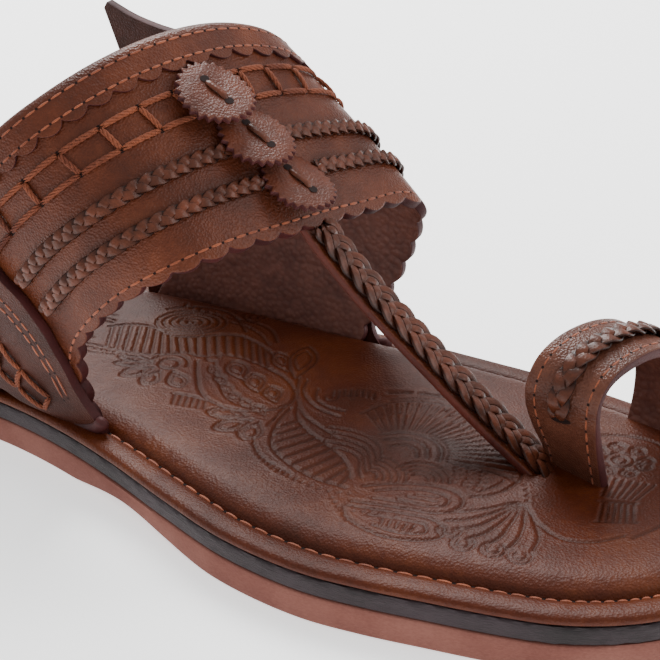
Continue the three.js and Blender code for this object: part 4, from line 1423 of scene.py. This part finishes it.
    def build_rim(self) -> None:
        """The rounded rim of sock leather with the stitched groove inside it."""
        bm = self.band([(1.2, 11.9), (0.35, 12.0), (0, 12.3), (-0.05, 12.9), (0.2, 13.5), (0.9, 13.95),
                        (2.6, 14.15), (4.6, 14.1), (5.9, 13.8), (6.5, 13.2), (7.0, 12.85), (7.5, 12.9),
                        (8.4, 13.2)])
        flat = read(bm)
        gap, run = self.plan.edge_distance(flat[:, :2] + ORIGIN[:2])
        flat[:, 2] += 0.12 * waves(run, 9, 11) * np.exp(-((gap - 4) / 2.4) ** 2)
        write(bm, flat)
        finish_mesh("footbed_rim", bm, [self.finishes.sock], Slot.FOOTBED, ["footbed"], closed=False)

    def cushion_level(self, xy: np.ndarray) -> np.ndarray:
        """Level of the padded sock with its gathered edge.

        Args:
            xy: Places on the sock.

        Returns:
            The level at each place.
        """
        gap, run = self.plan.edge_distance(xy)
        inner = gap - self.cushion_inset
        level = RIM_TOP + self.cushion_rise * (1 - np.exp(-np.maximum(inner, -0.3) / self.cushion_ease))
        level -= self.groove_depth * np.exp(-(((gap - self.groove_inset) / 0.5) ** 2))
        fold = 0.5 + 0.5 * waves(run + 0.8 * gap, 3.6, 5)
        strength = 0.55 + 0.45 * waves(run, 55, 6)
        level -= self.gather_depth * np.exp(-(((inner - 1.5) / 1.8) ** 2)) * fold * strength
        return level + self.plan.arch_at(xy[:, 0], xy[:, 1]) * (1 - np.exp(-np.maximum(inner, 0) / 5))

    def build_cushion(self) -> None:
        """The padded sock leather with its tooled pattern."""
        bm = bmesh.new()
        columns, rows = 600, 158
        # Fewer columns at the heel, so that the tooling that shows gets more of them.
        stations = np.interp(np.linspace(0, 1, columns + 1), [0, 0.15, 0.9, 1], [0, 0.33, 0.9, 1])
        xy = self.plate(bm, self.cushion_inset, columns, rows, self.cushion_level, stations=stations)
        relief, press = self.tooling.relief(xy)
        gap, _ = self.plan.edge_distance(xy)
        inside = np.clip((gap - 9.5) / 2, 0, 1)
        # The "pressed" layer carries painted shade, darkest in the grooves.
        layer = bm.verts.layers.float.new("pressed")
        for vertex, height, share in zip(bm.verts, relief * inside, press * inside):
            vertex.co.z += height
            vertex[layer] = share
        bmesh.ops.remove_doubles(bm, verts=bm.verts, dist=1e-4)
        finish_mesh("footbed_cushion", bm, [self.finishes.sock], Slot.FOOTBED, ["footbed"], 80, False)

    def build_stitches(self) -> None:
        """The orange thread in the groove between rim and cushion."""
        threads, pricks = bmesh.new(), bmesh.new()
        each = np.ones(self.stitches)
        share = np.linspace(0, 1, self.stitches)
        holes = self.laid(self.plan.ring(share, each * self.stitch_inset), each * self.stitch_level)
        ups = np.tile((0.0, 0.0, 1.0), (self.stitches, 1))
        stitch_row(threads, pricks, holes, ups, *self.stitch_size)
        finish_mesh("rim_thread", threads, [self.finishes.thread], Slot.THREAD)
        finish_mesh("rim_pricks", pricks, [self.finishes.hole], Slot.FOOTBED, closed=False)

    def build(self) -> None:
        """Builds the sole from the floor up."""
        self.build_outsole()
        self.build_midsole()
        self.build_rim()
        self.build_cushion()
        self.build_stitches()


# ---------- instep band

@dataclass
class Band:
    """The instep band: shell, folded facing, sewing, lacing and plaits."""

    finishes: Finishes
    surface: BandSurface
    wall: float = 2.8
    scallop: float = 7.3
    scallop_depth: float = 1.8
    facing_reach: tuple[float, float] = (0.2, 0.82)
    facing_width: float = 8.6
    facing_turn: float = 5.6
    facing_lift: float = 1.0
    facing_scallop: float = 6.6
    facing_notch: float = 2.2
    facing_wall: float = 0.95
    facing_stitch: tuple[float, float] = (0.62, 0.26)
    front_inset: float = 3.3
    front_pitch: float = 3.3
    front_stitch: tuple[float, float] = (0.72, 0.3)
    lace_hole: float = 0.85
    weave: Plait = Plait(period=9.8, swing=0.95, rise=0.5, wide=2.3, thick=0.85)

    def pattern(self, along: float) -> tuple[Callable, float]:
        """The flat pattern's map onto the face, true to length at one share along.

        Args:
            along: Share along the width where lengths are true.

        Returns:
            The map from millimetres to shares around, and the pattern's length.
        """
        shares, lengths = self.surface.girth(along)
        return (lambda x: np.interp(x, lengths, shares)), float(lengths[-1])

    def face(self, x: np.ndarray, y: np.ndarray, lift: np.ndarray) -> np.ndarray:
        """Places of the pattern, true to length on its front edge."""
        return self.surface.at(self.front_map(x), y / self.breadth, lift)

    def __post_init__(self) -> None:
        """Measures the pattern."""
        self.breadth = self.surface.width()
        self.front_map, self.front_length = self.pattern(1.0)
        self.back_map, _ = self.pattern(0.0)

    def build_shell(self) -> None:
        """The band's leather with a scalloped front edge and the lining under it."""
        bm = flat_grid(330, 56)
        flat = read(bm)
        s = flat[:, 0] * self.front_length
        y = flat[:, 1] * self.breadth
        notch = self.scallop_depth * (1 - np.abs(np.sin(np.pi * s / self.scallop)) ** 0.6)
        y = y - notch * np.clip((y - self.breadth + 7) / 7, 0, 1)
        write(bm, np.column_stack([s, y, np.zeros(len(s))]))
        thicken(bm, 0, self.wall, 0.45)
        wrap(bm, lambda p: self.face(p[:, 0], p[:, 1], p[:, 2]))
        finish_mesh("band_shell", bm, [self.finishes.upper, self.finishes.cut, self.finishes.lining],
                    Slot.UPPER, ["upper"])

    def facing_place(self, p: np.ndarray) -> np.ndarray:
        """Places of the facing, which turns over the band's back edge.

        Args:
            p: Length round the back edge, distance from it and lift of each point.

        Returns:
            Points in millimetres.
        """
        x, y, z = p.T
        bend, inner = 0.6, 1.4
        turn = np.maximum((bend - y) / (inner + 0.9), 0)
        along = np.where(y < bend, bend - (inner + z) * np.sin(turn), y)
        lift = np.where(y < bend, -inner + (inner + z) * np.cos(turn), z)
        return self.surface.at(self.back_map(x), along / self.breadth, lift)

    def build_facing(self) -> None:
        """The strip folded over the back edge, its front cut in scallops, and its sewing."""
        first, last = (np.interp(r, *self.surface.girth(0.0)) for r in self.facing_reach)
        bm = flat_grid(300, 26)
        flat = read(bm)
        x = first + flat[:, 0] * (last - first)
        y = -self.facing_turn + flat[:, 1] * (self.facing_width + self.facing_turn)
        notch = self.facing_notch * (1 - np.abs(np.sin(np.pi * x / self.facing_scallop)) ** 0.7)
        y = y - notch * np.clip((y - 4) / (self.facing_width - 4), 0, 1)
        write(bm, np.column_stack([x, y, np.zeros(len(x))]))
        thicken(bm, self.facing_lift, self.facing_wall, 0.3)
        wrap(bm, self.facing_place)
        finish_mesh("band_facing", bm, [self.finishes.upper, self.finishes.cut, self.finishes.upper],
                    Slot.UPPER, ["upper"])
        threads, pricks = bmesh.new(), bmesh.new()
        for y, pitch in ((0.9, 3.3), (self.facing_width - 2.7, 2.85)):
            count = int((last - first - 4) / pitch)
            x = np.linspace(first + 2, last - 2, count)
            line = np.column_stack([self.back_map(x), np.full(count, y / self.breadth)])
            holes, ups = on_surface(self.surface.at, line, self.facing_lift + 0.02)
            stitch_row(threads, pricks, holes, ups, *self.facing_stitch)
        finish_mesh("facing_thread", threads, [self.finishes.thread], Slot.THREAD)
        finish_mesh("facing_pricks", pricks, [self.finishes.hole], Slot.UPPER, closed=False)

    def build_front_sewing(self) -> None:
        """The stitches along the scalloped front edge."""
        threads, pricks = bmesh.new(), bmesh.new()
        x = np.arange(7.0, self.front_length - 6, self.front_pitch)
        y = np.full(len(x), self.breadth - self.front_inset)
        holes = self.face(x, y, 0.0)
        ups = unit(self.face(x, y, 1.0) - holes)
        stitch_row(threads, pricks, holes, ups, *self.front_stitch)
        finish_mesh("front_thread", threads, [self.finishes.thread], Slot.THREAD)
        finish_mesh("front_pricks", pricks, [self.finishes.hole], Slot.UPPER, closed=False)

    def cord_between(self, bm: BMesh, at: Callable, a: Sequence[float], b: Sequence[float],
                     lift: float, wide: float = 1.0) -> None:
        """Adds one laced length of four thick plies between two holes.

        Args:
            bm: The bmesh that takes it.
            at: The face: takes two coordinates and a lift to a place.
            a: Its first hole in the face's coordinates.
            b: Its last hole.
            lift: Height of its ends over the face.
            wide: Its width.
        """
        t = np.linspace(0, 1, 15)
        line = np.array(a) + np.outer(t, np.array(b) - np.array(a))
        arch = lift + 0.75 * np.sin(np.pi * t) ** 0.5 - 0.3
        base = at(line[:, 0], line[:, 1], arch)
        up = unit(at(line[:, 0], line[:, 1], arch + 1) - base)
        side = unit(np.cross(up, base[-1] - base[0]))
        turns = 2 * np.pi * t * length_of(base) / 6.5
        for strand in range(4):
            angle = turns + strand * np.pi / 2
            bundle = base + side * (np.cos(angle) * wide * 0.42)[:, None]
            bundle = bundle + up * (np.sin(angle) * wide * 0.3)[:, None]
            tube(bm, bundle, up, wide * 0.62, wide * 0.55, 6)

    def build_lacing(self) -> None:
        """The ladder of thick thread between facing and plaits."""
        bm, pricks = bmesh.new(), bmesh.new()
        upper = (2.3, 2.9, 3.52, 4.15, 4.74, 5.45, 6.27, 6.98, 7.59, 8.25, 8.9, 9.47, 10.22, 11.26,
                 12.1, 12.9)
        lower = (2.2, 2.75, 3.35, 3.97, 4.64, 5.46, 6.28, 7.03, 7.7, 8.28, 8.86, 9.49, 10.17, 11.4,
                 12.2, 13.0)
        high = [(s / 17, 0.24 - 0.02 * max(0, (s - 7.6) / 2)) for s in upper]
        low = [(s / 17, 0.372 - 0.03 * max(0, (s - 8) / 3)) for s in lower]
        for k, (a, b) in enumerate(zip(high, low)):
            self.cord_between(bm, self.surface.at, a, b, 0.35)
            if k + 1 < len(high):
                self.cord_between(bm, self.surface.at, a, high[k + 1], 0.3)
                self.cord_between(bm, self.surface.at, b, low[k + 1], 0.3)
        line = np.array(high + low)
        prick(pricks, *on_surface(self.surface.at, line), self.lace_hole)
        finish_mesh("ladder_lacing", bm, [self.finishes.lace], Slot.THREAD, smooth=70)
        finish_mesh("ladder_pricks", pricks, [self.finishes.hole], Slot.UPPER, closed=False)

    def build_plaits(self) -> None:
        """The four plaits across the band, two on each side of the rosettes."""
        for name, along, start, end in (
            ("plait_rear_lateral", 0.56, 0.19, 0.462), ("plait_rear_medial", 0.56, 0.52, 0.81),
            ("plait_front_lateral", 0.74, 0.169, 0.468), ("plait_front_medial", 0.74, 0.54, 0.831),
        ):
            shares, lengths = self.surface.girth(along)
            first, last = np.interp([start, end], shares, lengths)
            bm = bmesh.new()
            self.weave.strands(bm, lambda t, across, lift: self.surface.at(
                np.interp(first + t, lengths, shares), along + across / self.breadth, lift),
                last - first, 0.15)
            finish_mesh(name, bm, [self.finishes.plait], Slot.PLAIT, [name])

    def build(self) -> None:
        """Builds the band and all that is on it but ears and rosettes."""
        self.build_shell()
        self.build_facing()
        self.build_front_sewing()
        self.build_lacing()
        self.build_plaits()


@dataclass
class Rosettes:
    """Three toothed discs shingled down the middle of the band."""

    finishes: Finishes
    surface: BandSurface
    radius: float = 9.7
    root: float = 8.5
    teeth: int = 26
    tilt: float = math.radians(22)
    roll: float = math.radians(7)
    top: float = 0.8
    wall: float = 1.25
    thong_half: float = 3.6
    thong_wide: float = 2.0
    thong_thick: float = 0.9
    slit_offset: float = 4.0

    def frame_at(self, around: float, along: float, lift: float) -> Matrix:
        """Place of a disc: X forwards, Y sideways, Z up from the band.

        Args:
            around: Share of the girth at its middle.
            along: Share of the width at its middle.
            lift: Height over the face, without what its lean adds.

        Returns:
            The disc's matrix.
        """
        reach = self.radius / self.surface.width()
        here = self.surface.at(around, along, 0.0)
        normal = unit(self.surface.at(around, along, 1.0) - here)
        ahead = self.surface.at(around, along + reach, 0.0) - self.surface.at(around, along - reach, 0.0)
        ahead = unit(ahead - normal * (ahead @ normal))
        origin = self.surface.at(around, along, lift + self.radius * math.sin(self.tilt) * 0.7)
        turn = Matrix.Rotation(-self.tilt, 4, "Y") @ Matrix.Rotation(-self.roll, 4, "X")
        return basis(ahead, np.cross(normal, ahead), normal, origin) @ turn

    def disc(self, seed: int) -> BMesh:
        """One disc with triangular teeth, slight wrinkles and sides that hang a little.

        Args:
            seed: Which set of wrinkles.

        Returns:
            The disc's bmesh.
        """
        bm = flat_grid(self.teeth * 8, 12)
        flat = read(bm)
        angle = flat[:, 0] * 2 * np.pi
        tooth = np.abs((flat[:, 0] * self.teeth) % 1 * 2 - 1)
        reach = self.root + (self.radius - self.root) * tooth
        radius = flat[:, 1] * (self.root + (reach - self.root) * flat[:, 1] ** 6)
        write(bm, np.column_stack([radius * np.cos(angle), radius * np.sin(angle), np.zeros(len(angle))]))
        bmesh.ops.remove_doubles(bm, verts=bm.verts, dist=1e-4)
        thicken(bm, self.top, self.wall, 0.25)
        bent = read(bm)
        x, y = bent[:, 0], bent[:, 1]
        reach = np.hypot(x, y) / self.radius
        bent[:, 2] += 0.25 * waves(x * 0.9 + y * 0.35, 9, seed) * reach
        bent[:, 2] -= y ** 2 / 90 + 0.35 * np.exp(-(reach / 0.3) ** 2)
        write(bm, bent)
        return bm

    def build(self) -> None:
        """Builds the discs, their slits and the thongs that tie them down."""
        places = {"rosette_rear": (0.476, 0.315, 1.0), "rosette_middle": (0.488, 0.548, 0.3),
                  "rosette_front": (0.502, 0.79, 0.3)}
        thongs, slits = bmesh.new(), bmesh.new()
        for seed, (name, place) in enumerate(places.items()):
            matrix = self.frame_at(*place)
            bm = self.disc(seed + 40)
            bmesh.ops.transform(bm, matrix=matrix, verts=bm.verts)
            finish_mesh(name, bm, [self.finishes.rosette, self.finishes.cut, self.finishes.rosette],
                        Slot.ROSETTE, [name])
            t = np.linspace(-self.thong_half, self.thong_half, 13)
            height = 0.5 + 0.6 * np.cos(np.pi * t / 7.8) ** 0.5
            path = np.array([matrix @ Vector((a, 0.15 * math.sin(a), b)) for a, b in zip(t, height)])
            up = np.tile(np.array(matrix.to_3x3() @ Vector((0, 0, 1))), (len(t), 1))
            tube(thongs, path, up, self.thong_wide, self.thong_thick)
            # Dark ovals at the thong's two slits: painted shade of the openings.
            for side in (-1, 1):
                hole = matrix @ Matrix.Translation((side * self.slit_offset, 0, self.top + 0.12))
                bmesh.ops.create_circle(slits, cap_ends=True, segments=12, radius=1,
                                        matrix=hole @ Matrix.Diagonal((1.0, 1.2, 1, 1)))
        finish_mesh("rosette_thongs", thongs, [self.finishes.plait], Slot.ROSETTE)
        finish_mesh("rosette_slits", slits, [self.finishes.hole], Slot.ROSETTE, closed=False)


@dataclass
class Ear:
    """A side flap laid over the band's foot, with a point behind the band."""

    finishes: Finishes
    band: Band
    side: str
    top: float = 2.75
    wall: float = 2.4
    stitch_insets: tuple[float, float] = (3.4, 5.2)
    stitch_pitch: float = 3.1
    stitch_size: tuple[float, float] = (0.62, 0.26)

    def at(self, around: np.ndarray, along: np.ndarray, lift: np.ndarray) -> np.ndarray:
        """Places over the band.

        Args:
            around: Shares of the girth from this ear's own foot.
            along: Shares of the width from the back edge.
            lift: Heights over the band.

        Returns:
            Points in millimetres.
        """
        turned = around if self.side == "lateral" else 1 - np.asarray(around)
        return self.band.surface.at(turned, along, lift)

    def build_flap(self) -> None:
        """The flap with its rounded burgundy edge."""
        rows = EAR_ROWS[self.side]
        bm = flat_grid(130, 64)
        flat = read(bm)
        table = column_at(rows, flat[:, 0] * (len(rows) - 1))
        along, low, high = table.T
        around = (low + (high - low) * flat[:, 1]) / 2
        length = self.band.front_length
        write(bm, np.column_stack([around * length, along * self.band.breadth, np.zeros(len(along))]))
        bmesh.ops.remove_doubles(bm, verts=bm.verts, dist=1e-3)
        thicken(bm, self.top, self.wall, 0.55)
        flat = read(bm)
        places = self.at(flat[:, 0] / length, flat[:, 1] / self.band.breadth, flat[:, 2])
        write(bm, places)
        if self.side == "medial":
            bmesh.ops.reverse_faces(bm, faces=bm.faces)
        finish_mesh(f"ear_{self.side}", bm, [self.finishes.ear, self.finishes.cut, self.finishes.ear],
                    Slot.UPPER, [f"ear_{self.side}"])

    def edge_line(self, inset: float) -> np.ndarray:
        """A line inside the flap's front edge, as shares around and along.

        Args:
            inset: Its distance from the edge in millimetres.

        Returns:
            The line from the flap's upper back corner to its foot.
        """
        rows = EAR_ROWS[self.side]
        place = np.linspace(3.2, len(rows) - 1.6, 120)
        along, _, high = column_at(rows, place).T
        edge = np.column_stack([high / 2 * self.band.front_length, along * self.band.breadth])
        ahead = unit(np.gradient(edge, axis=0))
        to_foot = np.column_stack([-ahead[:, 1], ahead[:, 0]])
        to_foot *= -np.sign(to_foot[len(to_foot) // 2, 0])
        return (edge + to_foot * inset) / (self.band.front_length, self.band.breadth)

    def build_sewing(self) -> None:
        """Two rows of stitches inside the edge and the lattice of thick thread."""
        threads, pricks, laces = bmesh.new(), bmesh.new(), bmesh.new()
        for inset in self.stitch_insets:
            line = self.edge_line(inset)
            keep = (line[:, 1] > -0.62) & (line[:, 0] > 0.024)
            run = smooth_line(line[keep][::6], False, 8)
            base, _ = on_surface(self.at, run, self.top)
            count = int(length_of(base) / self.stitch_pitch)
            places = evenly(run, np.linspace(0, 1, count))
            holes, ups = on_surface(self.at, places, self.top + 0.02)
            stitch_row(threads, pricks, holes, ups, *self.stitch_size)
        upper = np.array([(3.62, -0.5), (3.6, -0.33), (3.5, -0.16), (3.35, 0.0), (3.15, 0.15), (2.85, 0.3),
                          (2.4, 0.43), (1.783, 0.569), (1.189, 0.685), (0.692, 0.825)]) / (17, 1)
        lower = np.array([(3.5, -0.52), (3.2, -0.4), (2.85, -0.26), (2.5, -0.12), (2.15, 0.02), (1.8, 0.16),
                          (1.4, 0.36), (0.982, 0.541), (0.723, 0.639), (0.428, 0.772)]) / (17, 1)
        for k, (a, b) in enumerate(zip(upper, lower)):
            self.band.cord_between(laces, self.at, a, b, 3.1)
            if k + 1 < len(upper):
                self.band.cord_between(laces, self.at, a, upper[k + 1], 3.05)
                self.band.cord_between(laces, self.at, b, lower[k + 1], 3.05)
        finish_mesh(f"ear_thread_{self.side}", threads, [self.finishes.thread], Slot.THREAD)
        finish_mesh(f"ear_pricks_{self.side}", pricks, [self.finishes.hole], Slot.UPPER, closed=False)
        finish_mesh(f"ear_lacing_{self.side}", laces, [self.finishes.lace], Slot.THREAD)

    def build_roll(self) -> None:
        """The rolled end of the flap at the front of its foot."""
        bm = bmesh.new()
        line = np.array([(0.008, 0.9), (0.012, 0.98), (0.02, 1.06), (0.03, 1.11)])
        path = smooth_line(line, False, 6)
        base, up = on_surface(self.at, path, 2.1)
        tube(bm, base, up, 3.8, 3.0, 12)
        finish_mesh(f"ear_roll_{self.side}", bm, [self.finishes.cut], Slot.UPPER)

    def build(self) -> None:
        """Builds the flap with its sewing."""
        self.build_flap()
        self.build_sewing()
        self.build_roll()


@dataclass
class Post:
    """The toe post strap with its broad plait of paired thongs."""

    finishes: Finishes
    band: Band
    around: float = 0.515
    wide: float = 10.2
    wall: float = 2.1
    weave: Plait = Plait(period=15.6, swing=2.35, rise=0.65, wide=4.5, thick=1.05, thongs=2)

    def __post_init__(self) -> None:
        """Draws the strap's middle line."""
        surface = self.band.surface
        under = [surface.at(self.around, along, -1.7) for along in (0.72, 0.86, 0.98)]
        rise = float(surface.ruled(np.array(self.around), np.array(1.0))[2]) - FOOT_LEVEL
        scale = np.array([SOLE_LENGTH, BALL_WIDTH, rise])
        free = [row * scale + (0, 0, FOOT_LEVEL) - ORIGIN for row in POST_ROWS]
        self.line = smooth_line([*under, *free], False, 24)
        self.length = length_of(self.line)

    def at(self, x: np.ndarray, y: np.ndarray, lift: np.ndarray) -> np.ndarray:
        """Places over the strap.

        Args:
            x: Lengths along it.
            y: Offsets across it.
            lift: Heights over it.

        Returns:
            Points in millimetres.
        """
        x, y, lift = np.broadcast_arrays(*(np.asarray(a, float) for a in (x, y, lift)))
        share = np.clip(x / self.length, 0, 1)
        point = evenly(self.line, share)
        tiny = 0.012
        before, after = (evenly(self.line, np.clip(share + step, 0, 1)) for step in (-tiny, tiny))
        ahead = unit(after - before)
        normal = unit(np.cross(ahead, (0.0, 1.0, 0.0)))
        made = point + normal * lift[..., None]
        made[..., 1] += y
        return made

    def build(self) -> None:
        """Builds strap and plait."""
        bm = flat_grid(110, 12)
        flat = read(bm)
        write(bm, np.column_stack([flat[:, 0] * self.length, (0.5 - flat[:, 1]) * self.wide, flat[:, 2]]))
        bmesh.ops.reverse_faces(bm, faces=bm.faces)
        thicken(bm, 0, self.wall, 0.5)
        wrap(bm, lambda p: self.at(p[:, 0], p[:, 1], p[:, 2]))
        bmesh.ops.recalc_face_normals(bm, faces=bm.faces)
        finish_mesh("post_strap", bm, [self.finishes.upper, self.finishes.red_cut, self.finishes.lining],
                    Slot.UPPER, ["upper"])
        bm = bmesh.new()
        start = 0.15 * self.length
        self.weave.strands(bm, lambda t, across, lift: self.at(start + t, across, lift),
                           self.length - start - 1.5, 0.05)
        finish_mesh("post_plait", bm, [self.finishes.plait], Slot.PLAIT, ["upper"])


@dataclass
class Ring:
    """The toe ring with sewn edges and a plait that ends in a slit."""

    finishes: Finishes
    surface: RingSurface
    wall: float = 2.6
    seams: tuple[float, float] = (0.14, 0.86)
    stitch_pitch: float = 3.2
    stitch_size: tuple[float, float] = (0.66, 0.28)
    plait_reach: tuple[float, float] = (2.9, 9.6)
    slit_gap: float = 0.15
    weave: Plait = Plait(period=12.6, swing=1.2, rise=0.55, wide=2.75, thick=0.95)

    def build_shell(self) -> None:
        """The ring's leather and its lining."""
        last = len(RING_REAR) - 1
        place = np.linspace(0, last, 400)
        run = run_of(self.surface.at(place, 0.5, 0.0))
        bm = flat_grid(200, 26)
        flat = read(bm)
        write(bm, np.column_stack([flat[:, 0] * run[-1], flat[:, 1] * self.surface.width, flat[:, 2]]))
        thicken(bm, 0, self.wall, 0.5)
        wrap(bm, lambda p: self.surface.at(
            np.interp(p[:, 0], run, place), p[:, 1] / self.surface.width, p[:, 2]))
        finish_mesh("ring_shell", bm, [self.finishes.ring, self.finishes.cut, self.finishes.lining],
                    Slot.UPPER, ["upper"])

    def build_sewing(self) -> None:
        """Stitches near both edges."""
        threads, pricks = bmesh.new(), bmesh.new()
        for across in self.seams:
            place = np.linspace(0.15, len(RING_REAR) - 1.15, 400)
            line = np.column_stack([place, np.full(400, across)])
            base, _ = on_surface(self.surface.at, line)
            count = int(length_of(base) / self.stitch_pitch)
            run = run_of(base)
            even = np.interp(np.linspace(0, run[-1], count), run, place)
            holes = np.column_stack([even, np.full(count, across)])
            stitch_row(threads, pricks, *on_surface(self.surface.at, holes), *self.stitch_size)
        finish_mesh("ring_thread", threads, [self.finishes.thread], Slot.THREAD)
        finish_mesh("ring_pricks", pricks, [self.finishes.hole], Slot.UPPER, closed=False)

    def build_plait(self) -> None:
        """The plait over the ring and the slits that it goes through."""
        place = np.linspace(*self.plait_reach, 300)
        run = run_of(self.surface.at(place, 0.5, 0.0))
        bm = bmesh.new()
        self.weave.strands(bm, lambda t, across, lift: self.surface.at(
            np.interp(t, run, place), 0.5 + across / self.surface.width, lift), run[-1], 0.1)
        finish_mesh("plait_ring", bm, [self.finishes.plait], Slot.PLAIT, ["plait_ring"])
        # Dark ovals at the plait's two slits: painted shade of the openings.
        slits = bmesh.new()
        for end in (self.plait_reach[0] - self.slit_gap, self.plait_reach[1] + self.slit_gap):
            line = np.array([(end, 0.5)])
            hole, up = on_surface(self.surface.at, line, 0.05)
            ahead = unit(self.surface.at(end + 0.05, 0.5, 0.05) - hole[0])
            matrix = basis(ahead * 0.9, np.cross(up[0], ahead) * 2.6, up[0], hole[0])
            bmesh.ops.create_circle(slits, cap_ends=True, segments=14, radius=1, matrix=matrix)
        finish_mesh("ring_slits", slits, [self.finishes.hole], Slot.UPPER, closed=False)

    def build(self) -> None:
        """Builds the ring."""
        self.build_shell()
        self.build_sewing()
        self.build_plait()


# ---------- studio

@dataclass
class Studio:
    """Pale floor, high soft light from behind and the photo's camera."""

    floor_side: float = 120.0
    floor_glow: float = 0.95
    sky: float = 0.8
    sensor: float = 36.0
    lens: float = 81.82
    eye: tuple[float, float, float] = (274.1, -281.6, 201.8)
    target: tuple[float, float, float] = (87.92, 40.965, 12.0)

    def build_floor(self) -> None:
        """A floor that fills the picture."""
        bm = bmesh.new()
        bmesh.ops.create_grid(bm, x_segments=1, y_segments=1, size=self.floor_side / 2)
        mesh = bpy.data.meshes.new("floor")
        bm.to_mesh(mesh)
        bm.free()
        # Painted sweep: white and dead matt, with a glow that stands for the light behind it.
        made = bpy.data.materials.new("painted_white_sweep")
        made.use_nodes = True
        shader = made.node_tree.nodes["Principled BSDF"]
        shader.inputs["Base Color"].default_value = linear("#ffffff")
        shader.inputs["Roughness"].default_value = 0.9
        shader.inputs["Specular IOR Level"].default_value = 0.1
        shader.inputs["Emission Color"].default_value = linear("#ffffff")
        shader.inputs["Emission Strength"].default_value = self.floor_glow
        mesh.materials.append(made)
        floor = bpy.data.objects.new("floor", mesh)
        bpy.context.scene.collection.objects.link(floor)

    def lamp(self, name: str, place: tuple[float, float, float], aim: tuple[float, float, float],
             size: float, power: float) -> None:
        """A square soft light.

        Args:
            name: Its name.
            place: Where it hangs.
            aim: The point that it faces.
            size: Side of its panel.
            power: Watts.
        """
        data = bpy.data.lights.new(name, "AREA")
        data.shape = "SQUARE"
        data.size = size
        data.energy = power
        light = bpy.data.objects.new(name, data)
        light.location = place
        light.rotation_euler = (Vector(aim) - Vector(place)).to_track_quat("-Z", "Y").to_euler()
        bpy.context.scene.collection.objects.link(light)

    def build_world(self) -> None:
        """Even light from all round."""
        world = bpy.data.worlds.new("studio")
        world.use_nodes = True
        back = world.node_tree.nodes["Background"]
        back.inputs["Color"].default_value = linear("#ffffff")
        back.inputs["Strength"].default_value = self.sky
        bpy.context.scene.world = world

    def build_camera(self) -> None:
        """The photo's camera."""
        data = bpy.data.cameras.new("camera")
        data.sensor_width = self.sensor
        data.lens = self.lens
        data.clip_start = 0.01
        camera = bpy.data.objects.new("camera", data)
        place, target = Vector(self.eye) * MM, Vector(self.target) * MM
        camera.location = place
        camera.rotation_euler = (target - place).to_track_quat("-Z", "Y").to_euler()
        bpy.context.scene.collection.objects.link(camera)
        bpy.context.scene.camera = camera

    def build(self) -> None:
        """Builds the stage."""
        self.build_floor()
        self.build_world()
        self.lamp("key", place=(-0.35, 0.55, 0.9), aim=(0.09, 0, 0.03), size=0.7, power=21)
        self.lamp("side", place=(0.9, 0.35, 0.6), aim=(0.1, 0, 0.03), size=0.6, power=4)
        self.build_camera()


def main() -> None:
    """Builds the shoe and its stage."""
    logging.basicConfig(level=logging.INFO, format="%(message)s")
    finishes = Finishes()
    band = Band(finishes, BandSurface())
    Sole(finishes, SolePlan(), Tooling()).build()
    band.build()
    Rosettes(finishes, band.surface).build()
    for side in ("lateral", "medial"):
        Ear(finishes, band, side).build()
    Post(finishes, band).build()
    Ring(finishes, RingSurface()).build()
    Studio().build()


if __name__ == "__main__":
    main()
